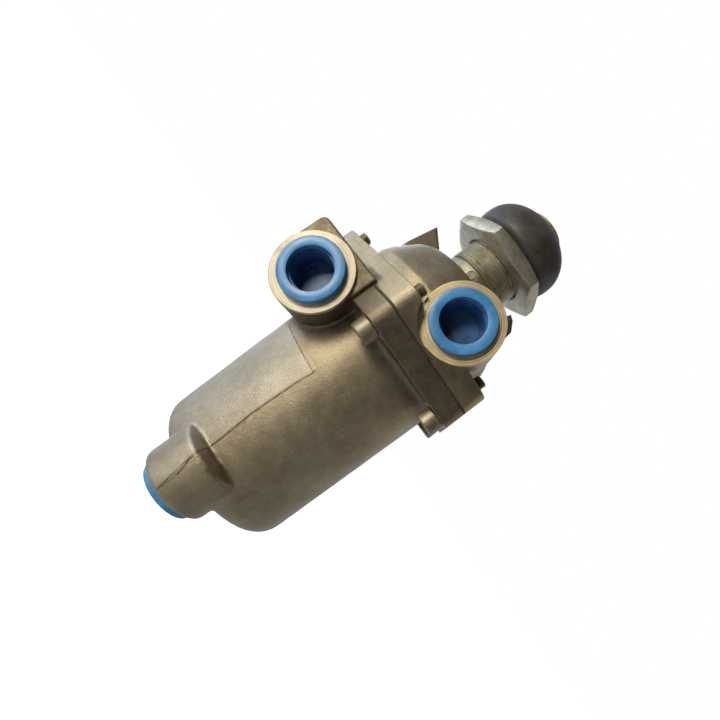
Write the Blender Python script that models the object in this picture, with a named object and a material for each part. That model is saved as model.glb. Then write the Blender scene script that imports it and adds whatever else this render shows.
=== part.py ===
"""Foot brake valve: a plunger under a rubber boot works a spring, a piston and an inlet valve.

The valve hangs under the floor plate of a cab by its threaded neck. +Z is the plunger's axis, and two of the
ports face -Y. Heights below are measured from the joint between housing and bonnet. The finished pieces are
lowered by SEAT_HEIGHT, so the origin lies on the neck's axis where the floor plate seats.
"""
import math

import bmesh
import bpy
from mathutils import Matrix, Vector

# Clearances
SEAT_GAP = 0.0003
RUNNING_GAP = 0.0003
BOLT_CLEARANCE = 0.0003
COIL_GAP = 0.0001

# Frame
SEAT_HEIGHT = 0.050

# How far a cut runs past the face that it opens, and a joined shape into its neighbour
CUT_PAST = 0.0010

# Facets: what counts as a sharp edge, and how far a cut's facets are turned from those of the piece round it
SMOOTH_ANGLE = math.radians(35)
CUT_TURN = math.radians(1.7)
BODY_SEGMENTS = 44
BORE_SEGMENTS = 32
BOSS_SEGMENTS = 32

# Flange joint
GASKET_THICKNESS = 0.0004
GASKET_SETBACK = 0.0010
SCREW_COUNT = 6
SCREW_RADIUS = 0.0029
SCREW_HEAD_RADIUS = 0.0053
SCREW_HEAD_HEIGHT = 0.0062
SCREW_SOCKET_RADIUS = 0.0029
SCREW_SOCKET_DEPTH = 0.0030
SCREW_END_LENGTH = 0.0040
SCREW_CHAMFER = 0.0005
SCREW_HEAD_ROOM = 0.0036
FLANGE_MARGIN = 0.0066
HOUSING_FLANGE_THICKNESS = 0.0095
BONNET_FLANGE_THICKNESS = 0.0100

# Lower housing
BODY_RADIUS = 0.0379
BODY_DRAFT = 0.021
BODY_BOTTOM_FILLET = 0.0105
CHAMBER_RADIUS = 0.0300
CHAMBER_DEPTH = 0.0460
SUPPLY_RADIUS = 0.0260
SUPPLY_LENGTH = 0.0383
SUMP_RADIUS = 0.0235
SUMP_LENGTH = 0.0087

# End boss of the housing
END_BOSS_RADIUS = 0.0166
END_BOSS_OFFSET = 0.0270
END_BOSS_HEIGHT = 0.0210
END_BOSS_PROUD = 0.0055
END_BOSS_FILLET = 0.0020
END_BOSS_SLOPE = 0.0020
END_BORE_ROOM = 0.0005
END_BORE_WALL = 0.0040
END_PASSAGE_RADIUS = 0.0045
END_PASSAGE_OFFSET = 0.0205

# Ports
PORT_BOSS_RADIUS = 0.0170
PORT_BORE_RADIUS = 0.0110
PORT_BORE_ROOM = 0.0035
DELIVERY_X = -0.0303
DELIVERY_FACE = 0.0503
DELIVERY_HEIGHT = -0.0158
DELIVERY_BLOCK_STEP = 0.0015
DELIVERY_BLOCK_WALL = 0.0003
DELIVERY_BLOCK_RISE = 0.0020
DELIVERY_BLOCK_CORNER = 0.0020
DELIVERY_ROOT_DEPTH = 0.0120
FLANGE_ROOM = 0.0005
BLOCK_HEAD_ROOM = 0.0013
ROOT_HEAD_ROOM = 0.0012
DELIVERY_PASSAGE_RADIUS = 0.0045
DELIVERY_PASSAGE_SHIFT = 0.0048
EXHAUST_X = 0.0194
EXHAUST_FACE = 0.0442
EXHAUST_HEIGHT = 0.0185
EXHAUST_PASSAGE_RADIUS = 0.0060
EXHAUST_BOSS_ROOT = 0.0120
SPOT_FACE_MARGIN = 0.0004

# Bonnet
DOME_PROFILE_RADII = (0.0387, 0.0385, 0.0369, 0.0340, 0.0313, 0.0282, 0.0240, 0.0195)
DOME_PROFILE_DROPS = (0.0288, 0.0214, 0.0169, 0.0114, 0.0064, 0.0032, 0.0010, 0.0)
DOME_HEIGHT = 0.0394
BONNET_BORE_RADIUS = 0.0280
BONNET_BORE_HEIGHT = 0.0190
BONNET_CEILING = 0.0278
BONNET_CEILING_RADIUS = 0.0225
RIB_THICKNESS = 0.0024
LEFT_RIB = ((0.0300, 0.0220), (0.0372, 0.0200), (0.0370, 0.0161), (0.0342, 0.0), (0.0245, 0.0062),
            (0.0200, 0.0130))
RIGHT_RIB = ((0.0260, 0.0220), (0.0318, 0.0200), (0.0312, 0.0134), (0.0301, 0.0054), (0.0262, 0.0012),
             (0.0233, 0.0), (0.0215, 0.0060), (0.0205, 0.0130))

# Neck sleeve, lock nut and pin
NECK_RADIUS = 0.0165
NECK_TOP = 0.0690
NECK_SHANK_RADIUS = 0.0145
NECK_SHANK_BOTTOM = 0.0324
COLLAR_HEIGHT = 0.0047
GROOVE_WIDTH = 0.0011
GROOVE_DEPTH = 0.0009
NECK_CHAMFER = 0.0010
PIN_RADIUS = 0.0019
PIN_LENGTH = 0.0033
PIN_HEIGHT = 0.0421
NUT_ACROSS_FLATS = 0.0500
NUT_THICKNESS = 0.0074
NUT_HEIGHT = 0.0570
NUT_TURN = 17.0
NUT_BEVEL = 0.0016
NUT_COUNTERSINK = 0.0012

# Plunger
PLUNGER_RADIUS = 0.0118
PLUNGER_RIM = 0.0895
PLUNGER_CROWN = 0.0038
PLUNGER_BOTTOM = 0.0300
PLUNGER_BORE_RADIUS = 0.0080
PLUNGER_BORE_TOP = 0.0620
ROD_CHAMFER = 0.0010
CIRCLIP_THICKNESS = 0.0012
CIRCLIP_REACH = 0.0020
CIRCLIP_BITE = 0.0010

# Rubber boot
BOOT_WALL = 0.0024
BOOT_LIP = 0.0030
BOOT_RADIUS = 0.0244
BOOT_TOP = 0.0888

# Springs, spring seat and piston
SPRING_SEAT_RADIUS = 0.0190
SPRING_SEAT_THICKNESS = 0.0032
SPRING_SEAT_RIM = 0.0015
PILOT_CLEARANCE = 0.0006
GRADUATING_RADIUS = 0.0150
GRADUATING_WIRE = 0.0018
GRADUATING_TURNS = 4.5
PISTON_CLEARANCE = 0.0003
PISTON_THICKNESS = 0.0085
PISTON_WELL_DEPTH = 0.0050
PISTON_WELL_RADIUS = 0.0180
SEAL_HEIGHT = 0.0026
SEAL_DEPTH = 0.0025
STEM_RADIUS = 0.0065
STEM_BORE_RADIUS = 0.0040
EXHAUST_LIFT = 0.0023
RETURN_RADIUS = 0.0125
RETURN_WIRE = 0.0011
RETURN_TURNS = 6.0

# Inlet seat insert
SEAT_PLATE_THICKNESS = 0.0077
SEAT_HOLE_RADIUS = 0.0095
SEAT_LIP_WIDTH = 0.0015
SEAT_LIP_HEIGHT = 0.0015
O_RING_HEIGHT = 0.0024
O_RING_DEPTH = 0.0021
RING_THICKNESS = 0.0015
RING_GROOVE_DEPTH = 0.0015
RING_REACH = 0.0025

# Inlet valve and its guide
FACING_RADIUS = 0.0135
FACING_BORE_RADIUS = 0.0045
FACING_THICKNESS = 0.0030
FACING_PROUD = 0.0008
VALVE_RIM = 0.0015
VALVE_THICKNESS = 0.0050
VALVE_STEM_RADIUS = 0.0070
VALVE_STEM_LENGTH = 0.0180
VALVE_SPRING_RADIUS = 0.0120
VALVE_SPRING_WIRE = 0.0008
VALVE_SPRING_TURNS = 6.0
GUIDE_THICKNESS = 0.0040
GUIDE_WALL = 0.0020
GUIDE_HEIGHT = 0.0160
GUIDE_HOLE_RADIUS = 0.0040
GUIDE_HOLE_CIRCLE = 0.0170

# Thread protectors
PLUG_FLANGE_RADIUS = 0.01325
PLUG_FLANGE_THICKNESS = 0.0028
PLUG_CLEARANCE = 0.0003
PLUG_LENGTH = 0.0125
PLUG_MOUTH_RADIUS = 0.0092
PLUG_STEP_DEPTH = 0.0030
PLUG_STEP = 0.0007
PLUG_BOTTOM = 0.0012
PLUG_LEAD = 0.0010
PLUG_EDGE = 0.0004
PLUG_TAPER = 0.0006

# Derived depths of the housing: the end boss holds its port's bore under the sump's floor
SUPPLY_DEPTH = CHAMBER_DEPTH + SUPPLY_LENGTH
SUMP_DEPTH = SUPPLY_DEPTH + SUMP_LENGTH
PORT_BORE_DEPTH = PLUG_LENGTH + PORT_BORE_ROOM
END_BORE_DEPTH = PLUG_LENGTH + END_BORE_ROOM
END_BOSS_REACH = SUMP_DEPTH + END_BORE_WALL + END_BORE_DEPTH
BODY_LENGTH = END_BOSS_REACH - END_BOSS_PROUD

# Derived circle of the flange screws, whose heads stand beside the housing's body
SCREW_CIRCLE_RADIUS = BODY_RADIUS + SCREW_HEAD_RADIUS + SCREW_HEAD_ROOM

# Derived heights of the joint
HOUSING_TOP = -(GASKET_THICKNESS / 2 + SEAT_GAP)
BONNET_BOTTOM = GASKET_THICKNESS / 2 + SEAT_GAP
FLANGE_UNDERSIDE = HOUSING_TOP - HOUSING_FLANGE_THICKNESS
BONNET_FLANGE_TOP = BONNET_BOTTOM + BONNET_FLANGE_THICKNESS
SCREW_HOLE_RADIUS = SCREW_RADIUS + BOLT_CLEARANCE
COLLAR_BOTTOM = DOME_HEIGHT + SEAT_GAP


def clear_scene():
    """Remove every object of the open scene and set up the empty that stands for the joint plane."""
    for obj in list(bpy.data.objects):
        bpy.data.objects.remove(obj, do_unlink=True)
    joint_plane = bpy.data.objects.new("joint_plane", None)
    joint_plane.location = (0.0, 0.0, -SEAT_HEIGHT)
    bpy.context.scene.collection.objects.link(joint_plane)


def material(name, colour, roughness, metallic):
    """A Principled material; colour is linear RGB."""
    mat = bpy.data.materials.new(name)
    mat.use_nodes = True
    shader = mat.node_tree.nodes["Principled BSDF"]
    shader.inputs["Base Color"].default_value = (*colour, 1.0)
    shader.inputs["Roughness"].default_value = roughness
    shader.inputs["Metallic"].default_value = metallic
    mat.diffuse_color = (*colour, 1.0)
    return mat


def to_object(name, bm, mat=None, place=None):
    """Link a mesh under the joint plane's empty, as a smooth object with its sharp edges kept."""
    bmesh.ops.remove_doubles(bm, verts=bm.verts, dist=1e-7)
    bmesh.ops.recalc_face_normals(bm, faces=bm.faces)
    mesh = bpy.data.meshes.new(name)
    bm.to_mesh(mesh)
    bm.free()
    mesh.shade_smooth()
    mesh.set_sharp_from_angle(angle=SMOOTH_ANGLE)
    if mat is not None:
        mesh.materials.append(mat)
    return link(name, mesh, place)


def link(name, mesh, place=None):
    """Link an object of a mesh, placed in the joint plane's frame."""
    obj = bpy.data.objects.new(name, mesh)
    bpy.context.scene.collection.objects.link(obj)
    obj.parent = bpy.data.objects["joint_plane"]
    if place is not None:
        obj.matrix_local = place
    return obj


def turned(profile, centre=(0.0, 0.0), segments=48, turn=0.0):
    """Closed solid turned about the upright line through centre.

    The profile is a closed loop of (radius, height). Points at radius 0 close it on the axis, with one flat
    face where the next point is at the same height.
    """
    bm = bmesh.new()
    rings = []
    for radius, height in profile:
        if radius == 0.0:
            rings.append([bm.verts.new((centre[0], centre[1], height))])
        else:
            rings.append([bm.verts.new((x, y, height)) for x, y in circle(radius, centre, segments, turn)])
    for i, ring in enumerate(rings):
        j = (i + 1) % len(rings)
        other = rings[j]
        if len(ring) == 1 and len(other) == 1:
            continue
        if 1 in (len(ring), len(other)) and profile[i][1] == profile[j][1]:
            bm.faces.new(max(ring, other, key=len))
            continue
        for k in range(segments):
            corners = [ring[k % len(ring)], ring[(k + 1) % len(ring)],
                       other[(k + 1) % len(other)], other[k % len(other)]]
            bm.faces.new(list(dict.fromkeys(corners)))
    bmesh.ops.delete(bm, geom=[v for v in bm.verts if not v.link_faces], context="VERTS")
    return bm


def prism(outline, low, high, axis="Z"):
    """Closed solid over a flat outline; with axis Y the outline is (x, height) and low, high are y."""
    bm = bmesh.new()
    if axis == "Z":
        bottom = [bm.verts.new((x, y, low)) for x, y in outline]
        top = [bm.verts.new((x, y, high)) for x, y in outline]
    else:
        bottom = [bm.verts.new((x, low, z)) for x, z in outline]
        top = [bm.verts.new((x, high, z)) for x, z in outline]
    bm.faces.new(bottom)
    bm.faces.new(top)
    for k in range(len(outline)):
        j = (k + 1) % len(outline)
        bm.faces.new((bottom[k], bottom[j], top[j], top[k]))
    bmesh.ops.recalc_face_normals(bm, faces=bm.faces)
    return bm


def circle(radius, centre=(0.0, 0.0), segments=36, turn=0.0):
    """Points of a circle."""
    points = []
    for k in range(segments):
        angle = turn + 2 * math.pi * k / segments
        points.append((centre[0] + radius * math.cos(angle), centre[1] + radius * math.sin(angle)))
    return points


def combine(obj, bm, operation):
    """Cut, join or clip an object with a mesh, and drop the tool again."""
    tool = to_object(obj.name + "_tool", bm)
    tool.hide_render = True
    tool.display_type = "WIRE"
    modifier = obj.modifiers.new(operation.lower(), "BOOLEAN")
    modifier.operation = operation
    modifier.object = tool
    modifier.solver = "EXACT"
    bpy.context.view_layer.update()
    graph = bpy.context.evaluated_depsgraph_get()
    result = bpy.data.meshes.new_from_object(obj.evaluated_get(graph))
    obj.modifiers.clear()
    old = obj.data
    obj.data = result
    bpy.data.meshes.remove(old)
    bpy.data.objects.remove(tool, do_unlink=True)
    obj.data.shade_smooth()
    obj.data.set_sharp_from_angle(angle=SMOOTH_ANGLE)
    return obj


def screw_angles():
    """Angles of the flange screws; the first screw lies on the ports' side."""
    return [-math.pi / 2 + 2 * math.pi * k / SCREW_COUNT for k in range(SCREW_COUNT)]


def screw_centres():
    """Centres of the flange screws."""
    return [(SCREW_CIRCLE_RADIUS * math.cos(a), SCREW_CIRCLE_RADIUS * math.sin(a)) for a in screw_angles()]


def flange_outline(margin=FLANGE_MARGIN):
    """Flange outline: straight sides between lobes round the screws."""
    points = []
    count = SCREW_COUNT
    for angle, (x, y) in zip(screw_angles(), screw_centres()):
        for i in range(7):
            turn = angle - math.pi / count + 2 * math.pi / count * i / 6
            points.append((x + margin * math.cos(turn), y + margin * math.sin(turn)))
    return points


def coil(radius, wire, turns, below, above, segments=12, sides=5):
    """Compression spring with closed end turns, just clear of its two seats; wire is the wire's radius."""
    bm = bmesh.new()
    bottom = below + SEAT_GAP + wire
    top = above - SEAT_GAP - wire
    count = int(turns * segments)
    end_rise = 2.0 * wire + COIL_GAP
    open_height = (top - bottom) - 2 * end_rise
    rings = []
    for i in range(count + 1):
        turn = turns * i / count
        if turn < 1.0:
            height = bottom + end_rise * turn
        elif turn > turns - 1.0:
            height = top - end_rise * (turns - turn)
        else:
            height = bottom + end_rise + open_height * (turn - 1.0) / (turns - 2.0)
        angle = 2 * math.pi * turn
        outward = Vector((math.cos(angle), math.sin(angle), 0.0))
        ring = []
        for k in range(sides):
            phase = 2 * math.pi * k / sides
            spot = outward * (radius + wire * math.cos(phase))
            ring.append(bm.verts.new((spot.x, spot.y, height + wire * math.sin(phase))))
        rings.append(ring)
    for ring, other in zip(rings, rings[1:]):
        for k in range(sides):
            j = (k + 1) % sides
            bm.faces.new((ring[k], ring[j], other[j], other[k]))
    bm.faces.new(rings[0])
    bm.faces.new(rings[-1])
    return bm


def open_ring(inner, outer, low, high, opening=40.0, steps=22):
    """Flat retaining ring with a gap towards +Y."""
    first = math.radians(90 + opening / 2)
    last = math.radians(450 - opening / 2)
    angles = [first + (last - first) * i / steps for i in range(steps + 1)]
    outline = [(outer * math.cos(a), outer * math.sin(a)) for a in angles]
    outline += [(inner * math.cos(a), inner * math.sin(a)) for a in reversed(angles)]
    return prism(outline, low, high)


def arc_points(centre_radius, centre_height, radius, first, last, steps):
    """Profile points on an arc; angles in degrees from the outward direction."""
    points = []
    for i in range(steps + 1):
        angle = math.radians(first + (last - first) * i / steps)
        points.append((centre_radius + radius * math.cos(angle), centre_height + radius * math.sin(angle)))
    return points


def block_outline(wall, top, corner=0.0):
    """Front view (x, height) of the delivery block: a circle run straight up, its outer corner rounded."""
    radius = PORT_BOSS_RADIUS + wall
    points = [(DELIVERY_X + radius, top)]
    if corner > 0.0:
        points += arc_points(DELIVERY_X - radius + corner, top - corner, corner, 90, 180, 3)
    else:
        points.append((DELIVERY_X - radius, top))
    for i in range(19):
        angle = math.radians(180 + 10 * i)
        points.append((DELIVERY_X + radius * math.cos(angle), DELIVERY_HEIGHT + radius * math.sin(angle)))
    return points


def drill_port(casting, port, passage, passage_radius, face, end, axis):
    """Cut a port's bore in from its face, and the narrower passage from the bore's bottom to the chamber."""
    depth = END_BORE_DEPTH if axis == "Z" else PORT_BORE_DEPTH
    bore = circle(PORT_BORE_RADIUS, port, 24, CUT_TURN)
    combine(casting, prism(bore, face - CUT_PAST, face + depth, axis), "DIFFERENCE")
    way = circle(passage_radius, passage, 12, CUT_TURN)
    combine(casting, prism(way, face + depth - CUT_PAST, end, axis), "DIFFERENCE")


def drill_screw_holes(piece, low, high):
    """Cut the screws' clearance holes."""
    for centre in screw_centres():
        hole = circle(SCREW_HOLE_RADIUS, centre, 12, CUT_TURN)
        combine(piece, prism(hole, low, high), "DIFFERENCE")


def build_housing(mat):
    """Lower housing: drafted cylinder, hexagonal flange, delivery block and end boss, hollow inside."""
    fillet = BODY_BOTTOM_FILLET
    low_radius = BODY_RADIUS - BODY_DRAFT * (BODY_LENGTH - fillet)
    outside = [(0.0, HOUSING_TOP), (BODY_RADIUS, HOUSING_TOP)]
    outside += arc_points(low_radius - fillet, -BODY_LENGTH + fillet, fillet, 0, -90, 5)
    outside.append((0.0, -BODY_LENGTH))
    housing = to_object("lower_housing", turned(outside, segments=BODY_SEGMENTS), mat)
    combine(housing, prism(flange_outline(), FLANGE_UNDERSIDE, HOUSING_TOP), "UNION")

    # the block ends in front of the nearest screw head, and rises above the joint outside the bonnet's flange
    screw_x, screw_y = screw_centres()[-1]
    block_back = screw_y - SCREW_HEAD_RADIUS - BLOCK_HEAD_ROOM
    block_front = -(DELIVERY_FACE - DELIVERY_BLOCK_STEP)
    block = block_outline(DELIVERY_BLOCK_WALL, DELIVERY_BLOCK_RISE, DELIVERY_BLOCK_CORNER)
    combine(housing, prism(block, block_front, block_back, "Y"), "UNION")
    clear_of_flange = flange_outline(FLANGE_MARGIN + FLANGE_ROOM)
    combine(housing, prism(clear_of_flange, HOUSING_TOP, DELIVERY_BLOCK_RISE + CUT_PAST), "DIFFERENCE")
    # the root of the block goes into the body beside the room for the nearest screw head
    root_left = screw_x + SCREW_HEAD_RADIUS + ROOT_HEAD_ROOM
    root = [(x, z) for x, z in block_outline(DELIVERY_BLOCK_WALL, HOUSING_TOP) if x > root_left]
    block_radius = PORT_BOSS_RADIUS + DELIVERY_BLOCK_WALL
    steep = DELIVERY_HEIGHT - math.sqrt(block_radius ** 2 - (root_left - DELIVERY_X) ** 2)
    root = [(root_left, HOUSING_TOP), (root_left, steep)] + root[1:] + root[:1]
    combine(housing, prism(root, block_back - CUT_PAST, -DELIVERY_ROOT_DEPTH, "Y"), "UNION")
    boss = circle(PORT_BOSS_RADIUS, (DELIVERY_X, DELIVERY_HEIGHT), BOSS_SEGMENTS)
    combine(housing, prism(boss, -DELIVERY_FACE, block_front + CUT_PAST, "Y"), "UNION")

    end_boss = [(0.0, -END_BOSS_REACH), (END_BOSS_RADIUS - END_BOSS_FILLET, -END_BOSS_REACH)]
    end_boss += arc_points(END_BOSS_RADIUS - END_BOSS_FILLET, -END_BOSS_REACH + END_BOSS_FILLET,
                           END_BOSS_FILLET, -60, 0, 2)
    shoulder = -END_BOSS_REACH + END_BOSS_HEIGHT
    end_boss += [(END_BOSS_RADIUS, shoulder), (END_BOSS_RADIUS - END_BOSS_SLOPE, shoulder + END_BOSS_SLOPE),
                 (0.0, shoulder + END_BOSS_SLOPE)]
    combine(housing, turned(end_boss, (0.0, -END_BOSS_OFFSET), BOSS_SEGMENTS), "UNION")

    groove = -CHAMBER_DEPTH + SEAT_GAP + SEAT_PLATE_THICKNESS + SEAT_GAP
    guide_groove = -SUPPLY_DEPTH + SEAT_GAP + GUIDE_THICKNESS + SEAT_GAP
    inside = [(0.0, CUT_PAST), (CHAMBER_RADIUS, CUT_PAST)]
    inside += [(CHAMBER_RADIUS, groove + RING_THICKNESS + SEAT_GAP),
               (CHAMBER_RADIUS + RING_GROOVE_DEPTH, groove + RING_THICKNESS + SEAT_GAP),
               (CHAMBER_RADIUS + RING_GROOVE_DEPTH, groove - SEAT_GAP),
               (CHAMBER_RADIUS, groove - SEAT_GAP),
               (CHAMBER_RADIUS, -CHAMBER_DEPTH), (SUPPLY_RADIUS, -CHAMBER_DEPTH)]
    inside += [(SUPPLY_RADIUS, guide_groove + RING_THICKNESS + SEAT_GAP),
               (SUPPLY_RADIUS + RING_GROOVE_DEPTH, guide_groove + RING_THICKNESS + SEAT_GAP),
               (SUPPLY_RADIUS + RING_GROOVE_DEPTH, guide_groove - SEAT_GAP),
               (SUPPLY_RADIUS, guide_groove - SEAT_GAP),
               (SUPPLY_RADIUS, -SUPPLY_DEPTH), (SUMP_RADIUS, -SUPPLY_DEPTH),
               (SUMP_RADIUS, -SUMP_DEPTH), (0.0, -SUMP_DEPTH)]
    combine(housing, turned(inside, segments=BORE_SEGMENTS, turn=CUT_TURN), "DIFFERENCE")

    port = (DELIVERY_X, DELIVERY_HEIGHT)
    passage = (DELIVERY_X + DELIVERY_PASSAGE_SHIFT, DELIVERY_HEIGHT)
    drill_port(housing, port, passage, DELIVERY_PASSAGE_RADIUS, -DELIVERY_FACE, -DELIVERY_ROOT_DEPTH, "Y")
    port = (0.0, -END_BOSS_OFFSET)
    passage = (0.0, -END_PASSAGE_OFFSET)
    drill_port(housing, port, passage, END_PASSAGE_RADIUS, -END_BOSS_REACH, -SUMP_DEPTH + CUT_PAST, "Z")
    drill_screw_holes(housing, FLANGE_UNDERSIDE - CUT_PAST, CUT_PAST)


def rib(points, side):
    """Thin upright web beside the neck: points are (radius, drop below the seat), side is its sign along X."""
    outline = [(side * radius, SEAT_HEIGHT - drop) for radius, drop in points]
    return prism(outline, -RIB_THICKNESS / 2, RIB_THICKNESS / 2, "Y")


def build_bonnet(mat):
    """Bonnet: hexagonal flange, dome, exhaust port boss with a milled face, two seat ribs."""
    dome = [(0.0, BONNET_BOTTOM), (DOME_PROFILE_RADII[0], BONNET_BOTTOM)]
    dome += [(r, DOME_HEIGHT - drop) for r, drop in zip(DOME_PROFILE_RADII, DOME_PROFILE_DROPS)]
    dome.append((0.0, DOME_HEIGHT))
    bonnet = to_object("bonnet", turned(dome, segments=BODY_SEGMENTS), mat)
    combine(bonnet, prism(flange_outline(), BONNET_BOTTOM, BONNET_FLANGE_TOP), "UNION")
    boss = circle(PORT_BOSS_RADIUS, (EXHAUST_X, EXHAUST_HEIGHT), BOSS_SEGMENTS)
    combine(bonnet, prism(boss, -EXHAUST_FACE, -EXHAUST_BOSS_ROOT, "Y"), "UNION")
    cutter = circle(PORT_BOSS_RADIUS + SPOT_FACE_MARGIN, (EXHAUST_X, EXHAUST_HEIGHT), BOSS_SEGMENTS, CUT_TURN)
    reach = SCREW_CIRCLE_RADIUS + FLANGE_MARGIN + CUT_PAST
    combine(bonnet, prism(cutter, -reach, -EXHAUST_FACE, "Y"), "DIFFERENCE")
    combine(bonnet, rib(LEFT_RIB, -1), "UNION")
    combine(bonnet, rib(RIGHT_RIB, 1), "UNION")

    cavity = [(0.0, 0.0), (BONNET_BORE_RADIUS, 0.0), (BONNET_BORE_RADIUS, BONNET_BORE_HEIGHT),
              (BONNET_CEILING_RADIUS, BONNET_CEILING), (NECK_SHANK_RADIUS + SEAT_GAP, BONNET_CEILING),
              (NECK_SHANK_RADIUS + SEAT_GAP, DOME_HEIGHT + CUT_PAST), (0.0, DOME_HEIGHT + CUT_PAST)]
    combine(bonnet, turned(cavity, segments=BORE_SEGMENTS, turn=CUT_TURN), "DIFFERENCE")
    port = (EXHAUST_X, EXHAUST_HEIGHT)
    drill_port(bonnet, port, port, EXHAUST_PASSAGE_RADIUS, -EXHAUST_FACE, -EXHAUST_BOSS_ROOT, "Y")
    drill_screw_holes(bonnet, -CUT_PAST, BONNET_FLANGE_TOP + CUT_PAST)


def build_gasket(mat):
    """Flat gasket between the flanges, open over the chamber."""
    outline = flange_outline()
    gasket = to_object("flange_gasket", prism(outline, -GASKET_THICKNESS / 2, GASKET_THICKNESS / 2), mat)
    opening = circle(CHAMBER_RADIUS + GASKET_SETBACK, segments=BORE_SEGMENTS, turn=CUT_TURN)
    combine(gasket, prism(opening, -CUT_PAST, CUT_PAST), "DIFFERENCE")
    drill_screw_holes(gasket, -CUT_PAST, CUT_PAST)


def build_screws(mat):
    """Six socket-head cap screws, put in from the housing's side; they share one mesh."""
    head_top = FLANGE_UNDERSIDE - SEAT_GAP
    head_end = head_top - SCREW_HEAD_HEIGHT
    tip = BONNET_FLANGE_TOP + SCREW_END_LENGTH
    profile = [(0.0, tip), (SCREW_RADIUS - SCREW_CHAMFER, tip), (SCREW_RADIUS, tip - SCREW_CHAMFER),
               (SCREW_RADIUS, head_top), (SCREW_HEAD_RADIUS, head_top),
               (SCREW_HEAD_RADIUS, head_end + SCREW_CHAMFER), (SCREW_HEAD_RADIUS - SCREW_CHAMFER, head_end),
               (SCREW_SOCKET_RADIUS, head_end), (SCREW_SOCKET_RADIUS, head_end + SCREW_SOCKET_DEPTH),
               (0.0, head_end + SCREW_SOCKET_DEPTH)]
    places = [Matrix.Translation((x, y, 0.0)) for x, y in screw_centres()]
    first = to_object("flange_screw_1", turned(profile, segments=14), mat, places[0])
    for k, place in enumerate(places[1:]):
        link(f"flange_screw_{k + 2}", first.data, place)


def build_neck(sleeve_mat, pin_mat, nut_mat):
    """Threaded neck sleeve, the pin in its collar and the lock nut."""
    collar_top = COLLAR_BOTTOM + COLLAR_HEIGHT
    bore = PLUNGER_RADIUS + RUNNING_GAP
    shank = NECK_SHANK_RADIUS
    groove = NECK_RADIUS - GROOVE_DEPTH
    profile = [(bore, NECK_SHANK_BOTTOM), (shank, NECK_SHANK_BOTTOM), (shank, COLLAR_BOTTOM),
               (NECK_RADIUS, COLLAR_BOTTOM), (NECK_RADIUS, collar_top), (groove, collar_top),
               (groove, collar_top + GROOVE_WIDTH), (NECK_RADIUS, collar_top + GROOVE_WIDTH),
               (NECK_RADIUS, NECK_TOP - NECK_CHAMFER), (NECK_RADIUS - NECK_CHAMFER, NECK_TOP),
               (bore, NECK_TOP)]
    sleeve = to_object("neck_sleeve", turned(profile, segments=32), sleeve_mat)
    hole = circle(PIN_RADIUS + SEAT_GAP, (0.0, PIN_HEIGHT), 14, CUT_TURN)
    pin_depth = NECK_RADIUS - PIN_LENGTH
    combine(sleeve, prism(hole, -NECK_RADIUS - CUT_PAST, -pin_depth + SEAT_GAP, "Y"), "DIFFERENCE")
    pin = circle(PIN_RADIUS, (0.0, PIN_HEIGHT), 14)
    to_object("neck_pin", prism(pin, -NECK_RADIUS, -pin_depth, "Y"), pin_mat)

    corner = NUT_ACROSS_FLATS / 2 / math.cos(math.pi / 6)
    top = NUT_HEIGHT + NUT_THICKNESS
    outline = circle(corner, segments=6, turn=math.radians(NUT_TURN))
    nut = to_object("lock_nut", prism(outline, NUT_HEIGHT, top), nut_mat)
    flat = NUT_ACROSS_FLATS / 2
    round_off = [(0.0, NUT_HEIGHT), (flat, NUT_HEIGHT), (corner, NUT_HEIGHT + NUT_BEVEL),
                 (corner, top - NUT_BEVEL), (flat, top), (0.0, top)]
    combine(nut, turned(round_off, segments=36), "INTERSECT")
    bore = NECK_RADIUS + SEAT_GAP
    wide = bore + NUT_COUNTERSINK + CUT_PAST
    mouth = [(0.0, NUT_HEIGHT - CUT_PAST), (wide, NUT_HEIGHT - CUT_PAST),
             (bore, NUT_HEIGHT + NUT_COUNTERSINK), (bore, top - NUT_COUNTERSINK),
             (wide, top + CUT_PAST), (0.0, top + CUT_PAST)]
    combine(nut, turned(mouth, segments=36, turn=CUT_TURN), "DIFFERENCE")


def build_boot(mat):
    """Bulb-shaped rubber boot: its lower lip grips the sleeve over the nut, its upper lip the plunger."""
    low = NUT_HEIGHT + NUT_THICKNESS + SEAT_GAP
    grip = NECK_RADIUS + SEAT_GAP
    lip = PLUNGER_RADIUS + SEAT_GAP
    bulge = BOOT_RADIUS
    height = BOOT_TOP - low
    outer = []
    for share, width in ((0.0, 0.05), (0.03, 0.50), (0.11, 0.90), (0.24, 1.0), (0.42, 0.985), (0.59, 0.86),
                         (0.76, 0.62), (0.88, 0.36), (0.965, 0.12), (1.0, 0.02)):
        foot = grip + 0.0005 if share < 0.3 else lip + 0.0004
        outer.append((foot + (bulge - foot) * width, low + height * share))
    inner = [(lip, BOOT_TOP), (lip, BOOT_TOP - BOOT_LIP)]
    for share, width in ((0.84, 0.34), (0.74, 0.62), (0.59, 0.86), (0.42, 0.985), (0.27, 1.0)):
        foot = lip
        inner.append((foot + (bulge - BOOT_WALL - foot) * width, low + height * share))
    inner += [(grip + 0.0022, low + BOOT_LIP + 0.0006), (grip, low + BOOT_LIP), (grip, low)]
    return to_object("rubber_boot", turned(outer + inner, segments=32), mat)


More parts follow.
